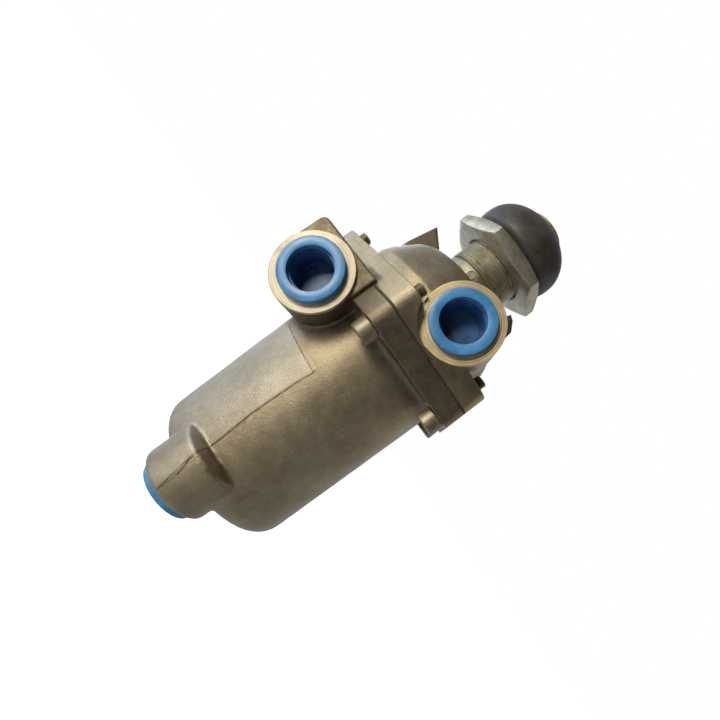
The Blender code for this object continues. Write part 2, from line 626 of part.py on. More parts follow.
def build_plunger(button_mat, steel_mat):
    """Plunger with its domed end, the circlip under the sleeve and the push rod in its bore."""
    crown = []
    for step in range(5):
        lean = math.pi / 2 * step / 4
        crown.append((PLUNGER_RADIUS * math.cos(lean), PLUNGER_RIM + PLUNGER_CROWN * math.sin(lean)))
    crown[-1] = (0.0, PLUNGER_RIM + PLUNGER_CROWN)
    clip_top = NECK_SHANK_BOTTOM - SEAT_GAP
    clip_low = clip_top - CIRCLIP_THICKNESS
    groove = PLUNGER_RADIUS - CIRCLIP_BITE - SEAT_GAP
    profile = [(0.0, PLUNGER_BORE_TOP), (PLUNGER_BORE_RADIUS, PLUNGER_BORE_TOP),
               (PLUNGER_BORE_RADIUS, PLUNGER_BOTTOM), (PLUNGER_RADIUS, PLUNGER_BOTTOM),
               (PLUNGER_RADIUS, clip_low - SEAT_GAP), (groove, clip_low - SEAT_GAP),
               (groove, clip_top + SEAT_GAP), (PLUNGER_RADIUS, clip_top + SEAT_GAP)] + crown
    to_object("plunger_button", turned(profile, segments=28), button_mat)
    clip = open_ring(PLUNGER_RADIUS - CIRCLIP_BITE, PLUNGER_RADIUS + CIRCLIP_REACH, clip_low, clip_top)
    to_object("plunger_circlip", clip, steel_mat)
    rod_radius = PLUNGER_BORE_RADIUS - SEAT_GAP
    rod_low = BONNET_CEILING
    rod_top = PLUNGER_BORE_TOP - SEAT_GAP
    rod = [(0.0, rod_low), (rod_radius, rod_low), (rod_radius, rod_top - ROD_CHAMFER),
           (rod_radius - ROD_CHAMFER, rod_top), (0.0, rod_top)]
    to_object("push_rod", turned(rod, segments=24), steel_mat)


def build_spring_seat(mat):
    """Disc between the push rod and the graduating spring."""
    top = BONNET_CEILING - SEAT_GAP
    low = top - SPRING_SEAT_THICKNESS
    pilot = GRADUATING_RADIUS - GRADUATING_WIRE - PILOT_CLEARANCE
    profile = [(0.0, low - SPRING_SEAT_RIM), (pilot, low - SPRING_SEAT_RIM), (pilot, low),
               (SPRING_SEAT_RADIUS, low), (SPRING_SEAT_RADIUS, top), (0.0, top)]
    to_object("spring_seat", turned(profile, segments=32), mat)
    return low


def build_piston(mat, seal_mat, facing_top):
    """Piston with its hollow stem, at rest under the bonnet's rim. Returns the seats of both springs."""
    radius = CHAMBER_RADIUS - PISTON_CLEARANCE
    top = BONNET_BOTTOM - SEAT_GAP
    low = top - PISTON_THICKNESS
    well = top - PISTON_WELL_DEPTH
    middle = (top + low) / 2
    groove_low = middle - SEAL_HEIGHT / 2 - SEAT_GAP
    groove_top = middle + SEAL_HEIGHT / 2 + SEAT_GAP
    groove = radius - SEAL_DEPTH - SEAT_GAP
    stem_end = facing_top + EXHAUST_LIFT
    edge = (STEM_BORE_RADIUS + STEM_RADIUS) / 2
    profile = [(STEM_BORE_RADIUS, stem_end), (edge, stem_end), (STEM_RADIUS, stem_end + STEM_RADIUS - edge),
               (STEM_RADIUS, low), (radius, low), (radius, groove_low), (groove, groove_low),
               (groove, groove_top), (radius, groove_top), (radius, top), (PISTON_WELL_RADIUS, top),
               (PISTON_WELL_RADIUS, well), (STEM_BORE_RADIUS, well)]
    to_object("piston", turned(profile, segments=BORE_SEGMENTS), mat)
    seal = [(radius - SEAL_DEPTH, middle - SEAL_HEIGHT / 2), (radius, middle - SEAL_HEIGHT / 2),
            (radius, middle + SEAL_HEIGHT / 2), (radius - SEAL_DEPTH, middle + SEAL_HEIGHT / 2)]
    to_object("piston_seal", turned(seal, segments=BORE_SEGMENTS), seal_mat)
    return well, low


def build_keeper(name, mat, bore, low):
    """Retaining ring sprung into the groove of a bore."""
    ring = open_ring(bore - RING_REACH, bore + RING_GROOVE_DEPTH - SEAT_GAP, low, low + RING_THICKNESS)
    to_object(name, ring, mat)


def build_inlet_seat(mat, rubber_mat, steel_mat):
    """Insert with the inlet seat's lip, its O-ring and retaining ring. Returns the heights of lip and top."""
    radius = CHAMBER_RADIUS - SEAT_GAP
    low = -CHAMBER_DEPTH + SEAT_GAP
    top = low + SEAT_PLATE_THICKNESS
    middle = (low + top) / 2
    lip_end = low - SEAT_LIP_HEIGHT
    groove = radius - O_RING_DEPTH - SEAT_GAP
    half = O_RING_HEIGHT / 2 + SEAT_GAP
    profile = [(SEAT_HOLE_RADIUS, lip_end), (SEAT_HOLE_RADIUS + SEAT_LIP_WIDTH / 2, lip_end),
               (SEAT_HOLE_RADIUS + SEAT_LIP_WIDTH, low), (radius, low), (radius, middle - half),
               (groove, middle - half), (groove, middle + half), (radius, middle + half), (radius, top),
               (SEAT_HOLE_RADIUS, top)]
    to_object("inlet_seat_insert", turned(profile, segments=BORE_SEGMENTS), mat)
    ring = []
    for k in range(6):
        angle = 2 * math.pi * (k + 0.5) / 6
        ring.append((radius - O_RING_DEPTH / 2 + O_RING_DEPTH / 2 * math.cos(angle),
                     middle + O_RING_HEIGHT / 2 * math.sin(angle)))
    to_object("seat_o_ring", turned(ring, segments=BORE_SEGMENTS), rubber_mat)
    ring_low = top + SEAT_GAP
    build_keeper("seat_retaining_ring", steel_mat, CHAMBER_RADIUS, ring_low)
    return lip_end, top


def build_valve(mat, rubber_mat, lip_end):
    """Inlet valve with its rubber facing under the seat lip. Returns the heights of facing and shoulder."""
    facing_top = lip_end - SEAT_GAP
    facing_low = facing_top - FACING_THICKNESS
    facing = [(FACING_BORE_RADIUS, facing_low), (FACING_RADIUS, facing_low), (FACING_RADIUS, facing_top),
              (FACING_BORE_RADIUS, facing_top)]
    to_object("valve_facing", turned(facing, segments=24), rubber_mat)
    floor = facing_low - SEAT_GAP
    low = floor - VALVE_THICKNESS
    cup = FACING_RADIUS + SEAT_GAP
    rim_top = facing_top - FACING_PROUD
    stem_end = low - VALVE_STEM_LENGTH
    profile = [(0.0, floor), (cup, floor), (cup, rim_top), (cup + VALVE_RIM, rim_top), (cup + VALVE_RIM, low),
               (VALVE_STEM_RADIUS, low), (VALVE_STEM_RADIUS, stem_end), (0.0, stem_end)]
    to_object("inlet_valve", turned(profile, segments=24), mat)
    return facing_top, low


def build_guide(mat, steel_mat):
    """Guide of the inlet valve on the step of the supply bore, and its ring. Returns the plate's height."""
    radius = SUPPLY_RADIUS - SEAT_GAP
    low = -SUPPLY_DEPTH + SEAT_GAP
    top = low + GUIDE_THICKNESS
    bore = VALVE_STEM_RADIUS + RUNNING_GAP
    profile = [(bore, low), (radius, low), (radius, top), (bore + GUIDE_WALL, top),
               (bore + GUIDE_WALL, low + GUIDE_HEIGHT), (bore, low + GUIDE_HEIGHT)]
    guide = to_object("valve_guide", turned(profile, segments=BORE_SEGMENTS), mat)
    for k in range(4):
        angle = math.pi / 4 + math.pi / 2 * k
        centre = (GUIDE_HOLE_CIRCLE * math.cos(angle), GUIDE_HOLE_CIRCLE * math.sin(angle))
        hole = circle(GUIDE_HOLE_RADIUS, centre, 12, CUT_TURN)
        combine(guide, prism(hole, low - CUT_PAST, top + CUT_PAST), "DIFFERENCE")
    build_keeper("guide_retaining_ring", steel_mat, SUPPLY_RADIUS, top + SEAT_GAP)
    return top


def plug_profile():
    """Half section of a thread protector: (radius, distance out of the port's face)."""
    shank = PORT_BORE_RADIUS - PLUG_CLEARANCE
    out = SEAT_GAP + PLUG_FLANGE_THICKNESS
    bottom = SEAT_GAP - PLUG_LENGTH
    step = out - PLUG_STEP_DEPTH
    inner = PLUG_MOUTH_RADIUS - PLUG_STEP
    floor = bottom + PLUG_BOTTOM
    return [(0.0, bottom), (shank - PLUG_LEAD, bottom), (shank, bottom + PLUG_LEAD), (shank, SEAT_GAP),
            (PLUG_FLANGE_RADIUS, SEAT_GAP), (PLUG_FLANGE_RADIUS, out - PLUG_EDGE),
            (PLUG_FLANGE_RADIUS - PLUG_EDGE, out), (PLUG_MOUTH_RADIUS, out), (PLUG_MOUTH_RADIUS, step),
            (inner, step), (inner - PLUG_TAPER, floor), (0.0, floor)]


def build_plug(name, mat, place):
    """A thread protector whose axis is turned by place from +Z to the way out of its port."""
    return to_object(name, turned(plug_profile(), segments=28), mat, place)


def main():
    clear_scene()
    cast = material("cast_aluminium", (0.36, 0.31, 0.22), 0.45, 0.8)
    gasket_mat = material("gasket_paper", (0.05, 0.045, 0.035), 0.8, 0.0)
    screw_mat = material("zinc_plated_screws", (0.45, 0.38, 0.26), 0.35, 0.9)
    sleeve_mat = material("yellow_plated_steel", (0.36, 0.30, 0.17), 0.4, 0.9)
    nut_mat = material("zinc_plated_nut", (0.38, 0.37, 0.31), 0.4, 0.9)
    rubber_mat = material("black_rubber", (0.045, 0.038, 0.030), 0.7, 0.0)
    seal_mat = material("seal_rubber", (0.015, 0.015, 0.015), 0.6, 0.0)
    button_mat = material("yellow_plunger", (0.42, 0.36, 0.08), 0.4, 0.5)
    steel_mat = material("spring_steel", (0.35, 0.35, 0.36), 0.35, 1.0)
    brass_mat = material("brass", (0.55, 0.40, 0.16), 0.35, 1.0)
    blue_mat = material("blue_plastic", (0.05, 0.26, 0.55), 0.45, 0.0)

    build_housing(cast)
    build_bonnet(cast)
    build_gasket(gasket_mat)
    build_screws(screw_mat)
    build_neck(sleeve_mat, steel_mat, nut_mat)
    build_boot(rubber_mat)
    build_plunger(button_mat, steel_mat)
    seat_low = build_spring_seat(steel_mat)
    lip_end, plate_top = build_inlet_seat(brass_mat, seal_mat, steel_mat)
    facing_top, shoulder = build_valve(brass_mat, seal_mat, lip_end)
    well, piston_low = build_piston(cast, seal_mat, facing_top)
    guide_top = build_guide(brass_mat, steel_mat)

    spring = coil(GRADUATING_RADIUS, GRADUATING_WIRE, GRADUATING_TURNS, well, seat_low)
    to_object("graduating_spring", spring, steel_mat)
    spring = coil(RETURN_RADIUS, RETURN_WIRE, RETURN_TURNS, plate_top, piston_low)
    to_object("return_spring", spring, steel_mat)
    spring = coil(VALVE_SPRING_RADIUS, VALVE_SPRING_WIRE, VALVE_SPRING_TURNS, guide_top, shoulder)
    to_object("valve_spring", spring, steel_mat)

    towards = Matrix.Rotation(math.radians(90), 4, "X")
    place = Matrix.Translation((DELIVERY_X, -DELIVERY_FACE, DELIVERY_HEIGHT)) @ towards
    build_plug("delivery_port_plug", blue_mat, place)
    place = Matrix.Translation((EXHAUST_X, -EXHAUST_FACE, EXHAUST_HEIGHT)) @ towards
    build_plug("exhaust_port_plug", blue_mat, place)
    place = Matrix.Translation((0.0, -END_BOSS_OFFSET, -END_BOSS_REACH)) @ Matrix.Rotation(math.pi, 4, "X")
    build_plug("supply_port_plug", blue_mat, place)


main()
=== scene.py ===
import math

import bmesh
import bpy
from mathutils import Matrix, Vector, noise


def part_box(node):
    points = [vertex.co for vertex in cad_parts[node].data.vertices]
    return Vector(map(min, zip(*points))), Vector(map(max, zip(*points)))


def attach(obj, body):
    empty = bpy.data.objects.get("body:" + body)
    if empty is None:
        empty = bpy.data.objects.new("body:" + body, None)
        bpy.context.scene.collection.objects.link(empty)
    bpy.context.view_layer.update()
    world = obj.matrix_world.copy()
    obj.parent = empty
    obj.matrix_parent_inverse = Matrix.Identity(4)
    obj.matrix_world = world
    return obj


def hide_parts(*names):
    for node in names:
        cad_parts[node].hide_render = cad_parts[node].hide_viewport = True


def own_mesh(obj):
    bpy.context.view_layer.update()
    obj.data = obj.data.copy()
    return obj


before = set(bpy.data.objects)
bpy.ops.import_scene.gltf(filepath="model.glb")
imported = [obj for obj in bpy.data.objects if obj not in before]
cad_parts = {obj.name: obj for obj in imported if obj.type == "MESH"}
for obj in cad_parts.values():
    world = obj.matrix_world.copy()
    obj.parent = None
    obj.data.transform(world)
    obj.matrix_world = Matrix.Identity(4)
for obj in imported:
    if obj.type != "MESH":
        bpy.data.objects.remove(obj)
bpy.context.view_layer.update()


# Lower housing. A sand-cast aluminium body with a hexagonal flange, a block round the delivery port and a
# boss for the supply port. The joint, port faces, bores and screw seats are machined, and the rest keeps its
# cast skin, with the mould's flash line down the front. Heights here are from the joint.
JOINT_HEIGHT = -0.050
SCREW_COUNT = 6
SCREW_CIRCLE = 0.0468
LOBE_RADIUS = 0.0066
FLANGE_EDGE = 0.0003
JOINT_GAP = 0.0003
HOUSING_FLANGE_UNDERSIDE = -0.0100
BODY_RADIUS = 0.0379
BODY_DRAFT = 0.021
BODY_BOTTOM = -0.1045
BODY_CORNER = 0.0105
FLANGE_FILLET = 0.0028
SCREW_SEAT_RADIUS = 0.0072
SCREW_SEAT_LOW = -0.0168
SCREW_SEAT_HIGH = -0.0099
SCREW_HOLE_RADIUS = 0.0032
CUT_PAST = 0.0010
CHAMBER_RADIUS = 0.0300
CHAMBER_BOTTOM = -0.0460
SUPPLY_RADIUS = 0.0260
SUPPLY_BOTTOM = -0.0843
SUMP_RADIUS = 0.0235
SUMP_BOTTOM = -0.0930
RING_GROOVE_DEPTH = 0.0015
SEAT_RING = (-0.0362, -0.0383)
GUIDE_RING = (-0.0779, -0.0800)
PORT_FACE_RADIUS = 0.0170
PORT_FACE_EDGE = 0.0003
PORT_BORE_RADIUS = 0.0111
PORT_BORE_DEPTH = 0.0160
PORT_MOUTH_RADIUS = 0.0130
PORT_PITCH = 0.0015
PORT_THREAD_DEPTH = 0.0007
PORT_THREAD_STEP = 0.0002
DELIVERY_PASSAGE = 0.0045
DELIVERY_PASSAGE_SHIFT = 0.0048
DELIVERY_PORT = (-0.0303, -0.0503, -0.0158)
BLOCK_RADIUS = 0.0172
BLOCK_FRONT = -0.0488
BLOCK_BACK = -0.0300
BLOCK_ROOT_LEFT = -0.0340
BLOCK_CORNER = 0.0026
BLOCK_RISE = 0.0021
FLANGE_ROOM = 0.0005
END_BOSS = (0.0, -0.0270, -0.1100)
END_BOSS_RADIUS = 0.0166
END_BOSS_CORNER = 0.0022
END_BOSS_SHOULDER = -0.0888
END_BOSS_NECK = 0.0125
END_FACE_RADIUS = 0.0143
END_FACE_CUT = -0.10995
END_PASSAGE = (0.0, -0.0205)
FLASH_UP_BOSS = ((0.0009, -0.1080), (0.0010, -0.1025), (0.0009, -0.0990), (-0.0003, -0.0948),
                 (-0.0011, -0.0934), (-0.0008, -0.0912))
FLASH_UP_BODY = ((-0.0008, -0.0900), (-0.0020, -0.0890), (-0.0020, -0.0817), (-0.0022, -0.0769),
                 (-0.0028, -0.0681), (-0.0025, -0.0588), (-0.0023, -0.0494), (-0.0017, -0.0426),
                 (-0.0011, -0.0388))
FLASH_ROUND = ((-0.0009, -0.0389), (-0.0290, -0.0366))
FLASH_WIDTH = 0.0006
FLASH_HEIGHT = 0.00032
FLASH_ROOT = 0.0006
MOULD_STEP = 0.00016
MOULD_STEP_REACH = 0.0250
MOULD_STEP_FRONT = -0.0150
MOULD_STEP_TOP = -0.0372
VOXEL = 0.0006


def circle(radius, centre=(0.0, 0.0), segments=64):
    """Points of a circle."""
    turns = [2 * math.pi * k / segments for k in range(segments)]
    return [(centre[0] + radius * math.cos(a), centre[1] + radius * math.sin(a)) for a in turns]


def arc(centre_radius, centre_height, radius, first, last, steps=8):
    """Points of an arc in a turned profile; angles in degrees from the outward direction."""
    angles = [math.radians(first + (last - first) * i / steps) for i in range(steps + 1)]
    return [(centre_radius + radius * math.cos(a), centre_height + radius * math.sin(a)) for a in angles]


def turned(profile, centre=(0.0, 0.0), segments=96):
    """Closed solid turned about the upright line through centre, from a closed loop of (radius, height)."""
    bm = bmesh.new()
    rings = []
    for radius, height in profile:
        if radius == 0.0:
            rings.append([bm.verts.new((centre[0], centre[1], height))])
        else:
            rings.append([bm.verts.new((x, y, height)) for x, y in circle(radius, centre, segments)])
    for ring, other in zip(rings, rings[1:] + rings[:1]):
        if len(ring) == 1 and len(other) == 1:
            continue
        for k in range(segments):
            corners = [ring[k % len(ring)], ring[(k + 1) % len(ring)],
                       other[(k + 1) % len(other)], other[k % len(other)]]
            bm.faces.new(list(dict.fromkeys(corners)))
    bmesh.ops.recalc_face_normals(bm, faces=bm.faces)
    return bm


def stacked(loops):
    """Closed solid through loops of equally many points, capped at both ends."""
    bm = bmesh.new()
    rings = [[bm.verts.new(point) for point in loop] for loop in loops]
    for ring, other in zip(rings, rings[1:]):
        for k in range(len(ring)):
            j = (k + 1) % len(ring)
            bm.faces.new((ring[k], ring[j], other[j], other[k]))
    bm.faces.new(rings[0])
    bm.faces.new(rings[-1])
    bmesh.ops.recalc_face_normals(bm, faces=bm.faces)
    return bm


def slab(outline, low, high, axis="Z"):
    """Closed solid over a flat outline: (x, y) between two heights, or (x, height) between two y."""
    if axis == "Y":
        return stacked([[(x, level, z) for x, z in outline] for level in (low, high)])
    return stacked([[(x, y, level) for x, y in outline] for level in (low, high)])


def out_of_port(bm, port):
    """Turn a piece made round +Z so that it points out of a port that faces -Y."""
    place = Matrix.Translation(port) @ Matrix.Rotation(math.radians(90), 4, "X")
    bmesh.ops.transform(bm, matrix=place, verts=bm.verts)
    return bm


def link(name, bm, materials=(), slot=0):
    """An object of a mesh, in heights from the joint, whose faces use one material slot."""
    for face in bm.faces:
        face.material_index = slot
    mesh = bpy.data.meshes.new(name)
    bm.to_mesh(mesh)
    bm.free()
    for material in materials:
        mesh.materials.append(material)
    obj = bpy.data.objects.new(name, mesh)
    bpy.context.scene.collection.objects.link(obj)
    return obj


def applied(obj):
    """Replace an object's mesh by the one that its modifiers make."""
    graph = bpy.context.evaluated_depsgraph_get()
    mesh = bpy.data.meshes.new_from_object(obj.evaluated_get(graph))
    obj.modifiers.clear()
    old = obj.data
    obj.data = mesh
    bpy.data.meshes.remove(old)


def combine(obj, bm, operation, slot=0):
    """Cut with a mesh or join it, the new faces in the given material slot."""
    tool = link(obj.name + "_tool", bm, obj.data.materials, slot)
    modifier = obj.modifiers.new(operation.lower(), "BOOLEAN")
    modifier.operation = operation
    modifier.object = tool
    modifier.solver = "MANIFOLD"
    applied(obj)
    bpy.data.objects.remove(tool, do_unlink=True)


def cut(obj, bm, slot=0):
    """Cut with a mesh."""
    combine(obj, bm, "DIFFERENCE", slot)


def cast(name, solids, materials, voxel=VOXEL, passes=7):
    """One skin over overlapping solids, with the soft corners and slight waviness of a sand casting."""
    bm = bmesh.new()
    for solid in solids:
        mesh = bpy.data.meshes.new("solid")
        solid.to_mesh(mesh)
        solid.free()
        bm.from_mesh(mesh)
        bpy.data.meshes.remove(mesh)
    obj = link(name, bm, materials)
    skin = obj.modifiers.new("skin", "REMESH")
    skin.mode = "VOXEL"
    skin.voxel_size = voxel
    soften = obj.modifiers.new("soften", "SMOOTH")
    soften.factor = 0.5
    soften.iterations = passes
    applied(obj)
    normals = [vertex.normal.copy() for vertex in obj.data.vertices]
    for vertex, normal in zip(obj.data.vertices, normals):
        wave = noise.noise(vertex.co * 110) * 0.00009 + noise.noise(vertex.co * 420) * 0.00003
        vertex.co += normal * wave
    return obj


def screw_centre(number):
    """Centre of a flange screw; the first is on the ports' side."""
    angle = -math.pi / 2 + 2 * math.pi * number / SCREW_COUNT
    return (SCREW_CIRCLE * math.cos(angle), SCREW_CIRCLE * math.sin(angle))


def flange_outline(inset=0.0, steps=12):
    """Flange outline: straight sides between lobes round the screws, moved in by inset."""
    points = []
    for k in range(SCREW_COUNT):
        x, y = screw_centre(k)
        middle = math.atan2(y, x)
        for i in range(steps + 1):
            turn = middle + math.pi / SCREW_COUNT * (2 * i / steps - 1)
            reach = LOBE_RADIUS - inset
            points.append((x + reach * math.cos(turn), y + reach * math.sin(turn)))
    return points


def flange(low, high):
    """Flange plate with its edges broken."""
    levels = ((low, FLANGE_EDGE), (low + FLANGE_EDGE, 0.0), (high - FLANGE_EDGE, 0.0), (high, FLANGE_EDGE))
    return stacked([[(x, y, height) for x, y in flange_outline(inset)] for height, inset in levels])


def runs(radius, low, high, step):
    """Points of a turned profile up a cylinder, closely spaced for a thread."""
    count = max(2, round((high - low) / step))
    return [(radius, low + (high - low) * i / count) for i in range(count + 1)]


def cut_thread(bm, radius, low, high, pitch, depth):
    """Move the points of a cylinder round +Z into a thread's flanks; a negative depth is a nut's thread."""
    for vertex in bm.verts:
        reach = math.hypot(vertex.co.x, vertex.co.y)
        if abs(reach - radius) > 1e-6 or not low <= vertex.co.z <= high:
            continue
        turn = (vertex.co.z / pitch - math.atan2(vertex.co.y, vertex.co.x) / (2 * math.pi)) % 1.0
        flank = min(1.0, max(0.0, 1.25 - abs(turn - 0.5) * 3.0))
        fade = min(1.0, (vertex.co.z - low) / (0.6 * pitch), (high - vertex.co.z) / (0.6 * pitch))
        share = (reach - depth * flank * fade) / reach
        vertex.co.x *= share
        vertex.co.y *= share
    return bm


def port_bore(port, passage, passage_end, shift=0.0):
    """Cutters for a port: its threaded bore with a broken mouth, and the way through to the chamber."""
    depth = PORT_BORE_DEPTH
    mouth = [(0.0, CUT_PAST), (PORT_MOUTH_RADIUS, CUT_PAST), (PORT_BORE_RADIUS, -0.0009)]
    walls = [(r, -h) for r, h in runs(PORT_BORE_RADIUS, 0.0012, depth - 0.0010, PORT_THREAD_STEP)]
    bore = turned(mouth + walls + [(PORT_BORE_RADIUS, -depth), (0.0, -depth - 0.0030)], segments=72)
    cut_thread(bore, PORT_BORE_RADIUS, -depth + 0.0010, -0.0010, PORT_PITCH, -PORT_THREAD_DEPTH)
    inner = -depth + 0.0020
    way = [(0.0, inner), (passage, inner), (passage, passage_end), (0.0, passage_end)]
    return [out_of_port(bore, port), out_of_port(turned(way, (shift, 0.0), 40), port)]


def finish_piece(obj, body, slot, *nodes):
    """Lower a piece from the joint's frame to the part's, shade it, and say what it rides on and replaces."""
    obj.data.transform(Matrix.Translation((0.0, 0.0, JOINT_HEIGHT)))
    obj.data.shade_smooth()
    obj.data.set_sharp_from_angle(angle=math.radians(32))
    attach(obj, body)
    if nodes:
        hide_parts(*nodes)
    return obj


def node(tree, kind, inputs=None, **settings):
    """Add a shader node; inputs maps a socket to a value or to another node's output."""
    made = tree.nodes.new("ShaderNode" + kind)
    for name, value in settings.items():
        setattr(made, name, value)
    for socket, value in (inputs or {}).items():
        if isinstance(value, bpy.types.NodeSocket):
            tree.links.new(value, made.inputs[socket])
        else:
            made.inputs[socket].default_value = value
    return made


def maths(tree, operation, *values):
    """Output of a Math node."""
    return node(tree, "Math", dict(enumerate(values)), operation=operation).outputs[0]


def times(tree, first, second):
    """Output of a Math node that multiplies."""
    return maths(tree, "MULTIPLY", first, second)


def spread(tree, value, low, high, new_low=0.0, new_high=1.0):
    """Output of a clamped Map Range node."""
    inputs = {"Value": value, "From Min": low, "From Max": high, "To Min": new_low, "To Max": new_high}
    return node(tree, "MapRange", inputs).outputs[0]


def mixed(tree, share, first, second, blend="MIX"):
    """Output of a colour Mix node."""
    inputs = {0: share, 6: first, 7: second}
    return node(tree, "Mix", inputs, data_type="RGBA", blend_type=blend).outputs[2]


def clouds(tree, scale, detail=4.0, roughness=0.55, stretch=None):
    """Noise in object space; scale is in features per metre."""
    place = node(tree, "TexCoord").outputs["Object"]
    if stretch:
        place = node(tree, "VectorMath", {0: place, 1: stretch}, operation="MULTIPLY").outputs[0]
    inputs = {"Vector": place, "Scale": scale, "Detail": detail, "Roughness": roughness}
    return node(tree, "TexNoise", inputs).outputs[0]


def new_group(name, inputs, outputs):
    """A shader node group; inputs are (name, type, value) and outputs (name, type)."""
    tree = bpy.data.node_groups.new(name, "ShaderNodeTree")
    for label, kind, value in inputs:
        socket = tree.interface.new_socket(label, in_out="INPUT", socket_type="NodeSocket" + kind)
        socket.default_value = value
    for label, kind in outputs:
        tree.interface.new_socket(label, in_out="OUTPUT", socket_type="NodeSocket" + kind)
    return tree, tree.nodes.new("NodeGroupInput").outputs, tree.nodes.new("NodeGroupOutput").inputs


def placed(tree, group, inputs):
    """Outputs of a group placed in a material."""
    made = tree.nodes.new("ShaderNodeGroup")
    made.node_tree = group
    for socket, value in inputs.items():
        if isinstance(value, bpy.types.NodeSocket):
            tree.links.new(value, made.inputs[socket])
        else:
            made.inputs[socket].default_value = value
    return made.outputs


def new_material(name, metallic, **sockets):
    """A Principled material; sockets are uniform values for the shader."""
    material = bpy.data.materials.new(name)
    material.use_nodes = True
    shader = material.node_tree.nodes["Principled BSDF"]
    shader.inputs["Metallic"].default_value = metallic
    for label, value in sockets.items():
        shader.inputs[label.replace("_", " ")].default_value = value
    return material, material.node_tree, shader


def finish_material(tree, shader, colour, roughness, height=None, depth=0.0001, strength=1.0):
    """Join colour, roughness and a bump height in metres to a material's shader."""
    tree.links.new(colour, shader.inputs["Base Color"])
    tree.links.new(roughness, shader.inputs["Roughness"])
    if height is not None:
        bump = node(tree, "Bump", {"Strength": strength, "Distance": depth, "Height": height})
        tree.links.new(bump.outputs[0], shader.inputs["Normal"])


# the skin of a sand casting: broad stains, mottling, sand grain and a few pits
cast_skin, into, out = new_group("cast_skin",
                                 [("Light", "Color", (0.5, 0.5, 0.5, 1.0)),
                                  ("Dark", "Color", (0.2, 0.2, 0.2, 1.0))],
                                 [("Color", "Color"), ("Roughness", "Float"), ("Height", "Float")])
stains = clouds(cast_skin, 42, 5.0, 0.6)
mottle = clouds(cast_skin, 260, 5.0, 0.65)
grain = clouds(cast_skin, 1500, 4.0, 0.7)
place = node(cast_skin, "TexCoord").outputs["Object"]
cells = node(cast_skin, "TexVoronoi", {"Vector": place, "Scale": 620.0})
pits = spread(cast_skin, cells.outputs["Distance"], 0.10, 0.24, 1.0, 0.0)
tone = maths(cast_skin, "ADD", times(cast_skin, stains, 0.60), times(cast_skin, mottle, 0.40))
colour = mixed(cast_skin, spread(cast_skin, tone, 0.30, 0.68), into["Dark"], into["Light"])
colour = mixed(cast_skin, spread(cast_skin, grain, 0.30, 0.70, 0.50, 0.0), colour, into["Dark"])
colour = mixed(cast_skin, times(cast_skin, pits, 0.35), colour, into["Dark"])
flecks = spread(cast_skin, clouds(cast_skin, 1000, 3.0, 0.6), 0.60, 0.72, 0.0, 0.22)
colour = mixed(cast_skin, flecks, colour, (0.80, 0.70, 0.48, 1.0))
cast_skin.links.new(colour, out["Color"])
cast_skin.links.new(spread(cast_skin, mottle, 0.3, 0.7, 0.40, 0.52), out["Roughness"])
height = maths(cast_skin, "ADD", times(cast_skin, grain, 0.7), times(cast_skin, mottle, 0.2))
height = maths(cast_skin, "SUBTRACT", height, times(cast_skin, pits, 0.25))
cast_skin.links.new(height, out["Height"])

# the mark of a facing or turning cutter: fine rings round an axis, with smears between them
tool_rings, into, out = new_group("tool_rings",
                                  [("Centre", "Vector", (0.0, 0.0, 0.0)),
                                   ("Across", "Vector", (1.0, 0.0, 1.0)),
                                   ("Pitch", "Float", 0.0004)],
                                  [("Rings", "Float"), ("Smear", "Float")])
place = node(tool_rings, "TexCoord").outputs["Object"]
offset = node(tool_rings, "VectorMath", {0: place, 1: into["Centre"]}, operation="SUBTRACT").outputs[0]
offset = node(tool_rings, "VectorMath", {0: offset, 1: into["Across"]}, operation="MULTIPLY").outputs[0]
reach = node(tool_rings, "VectorMath", {0: offset}, operation="LENGTH").outputs["Value"]
wobble = times(tool_rings, clouds(tool_rings, 90, 2.0), 0.00012)
turns = maths(tool_rings, "DIVIDE", maths(tool_rings, "ADD", reach, wobble), into["Pitch"])
phase = times(tool_rings, turns, 2 * math.pi)
tool_rings.links.new(maths(tool_rings, "SINE", phase), out["Rings"])
along = times(tool_rings, reach, 1800.0)
band = node(tool_rings, "TexNoise", {"W": along, "Scale": 1.0, "Detail": 3.0}, noise_dimensions="1D")
tool_rings.links.new(band.outputs[0], out["Smear"])


def near(tree, value, low, high, soft):
    """Mask that is 1 between two values and fades out over soft on both sides."""
    rise = spread(tree, value, low - soft, low)
    fall = spread(tree, value, high, high + soft, 1.0, 0.0)
    return times(tree, rise, fall)


# the two halves of the mould gave skins of different tone, cool grey left of the flash line and brown right
# of it; dirt sits on the delivery block's front, and painted shade darkens the skin round the block, on
# and under the flange, and on the front of the ribs
FLASH_MIDDLE = (-0.0028, -0.0660)
FLASH_BEND = 2.3
DIRT_AND_SHADE = (0.070, 0.050, 0.032, 1.0)
SEAM_DIRT = (0.080, 0.058, 0.038, 1.0)
cast_alloy, tree, shader = new_material("cast_alloy", 0.88)
place = node(tree, "SeparateXYZ", {0: node(tree, "TexCoord").outputs["Object"]}).outputs
height = maths(tree, "SUBTRACT", place["Z"], JOINT_HEIGHT)
bend = maths(tree, "POWER", maths(tree, "ABSOLUTE", maths(tree, "SUBTRACT", height, FLASH_MIDDLE[1])), 2.0)
line = maths(tree, "ADD", times(tree, bend, FLASH_BEND), FLASH_MIDDLE[0])
left_half = spread(tree, maths(tree, "SUBTRACT", place["X"], line), -0.0003, 0.0003, 1.0, 0.0)
edge = spread(tree, place["X"], FLASH_ROUND[0][0], FLASH_ROUND[1][0], FLASH_ROUND[0][1], FLASH_ROUND[1][1])
above_edge = maths(tree, "SUBTRACT", height, edge)
left_half = times(tree, left_half, spread(tree, above_edge, -0.0002, 0.0002, 1.0, 0.0))
left_half = times(tree, left_half, spread(tree, place["Y"], -0.010, 0.0, 1.0, 0.0))
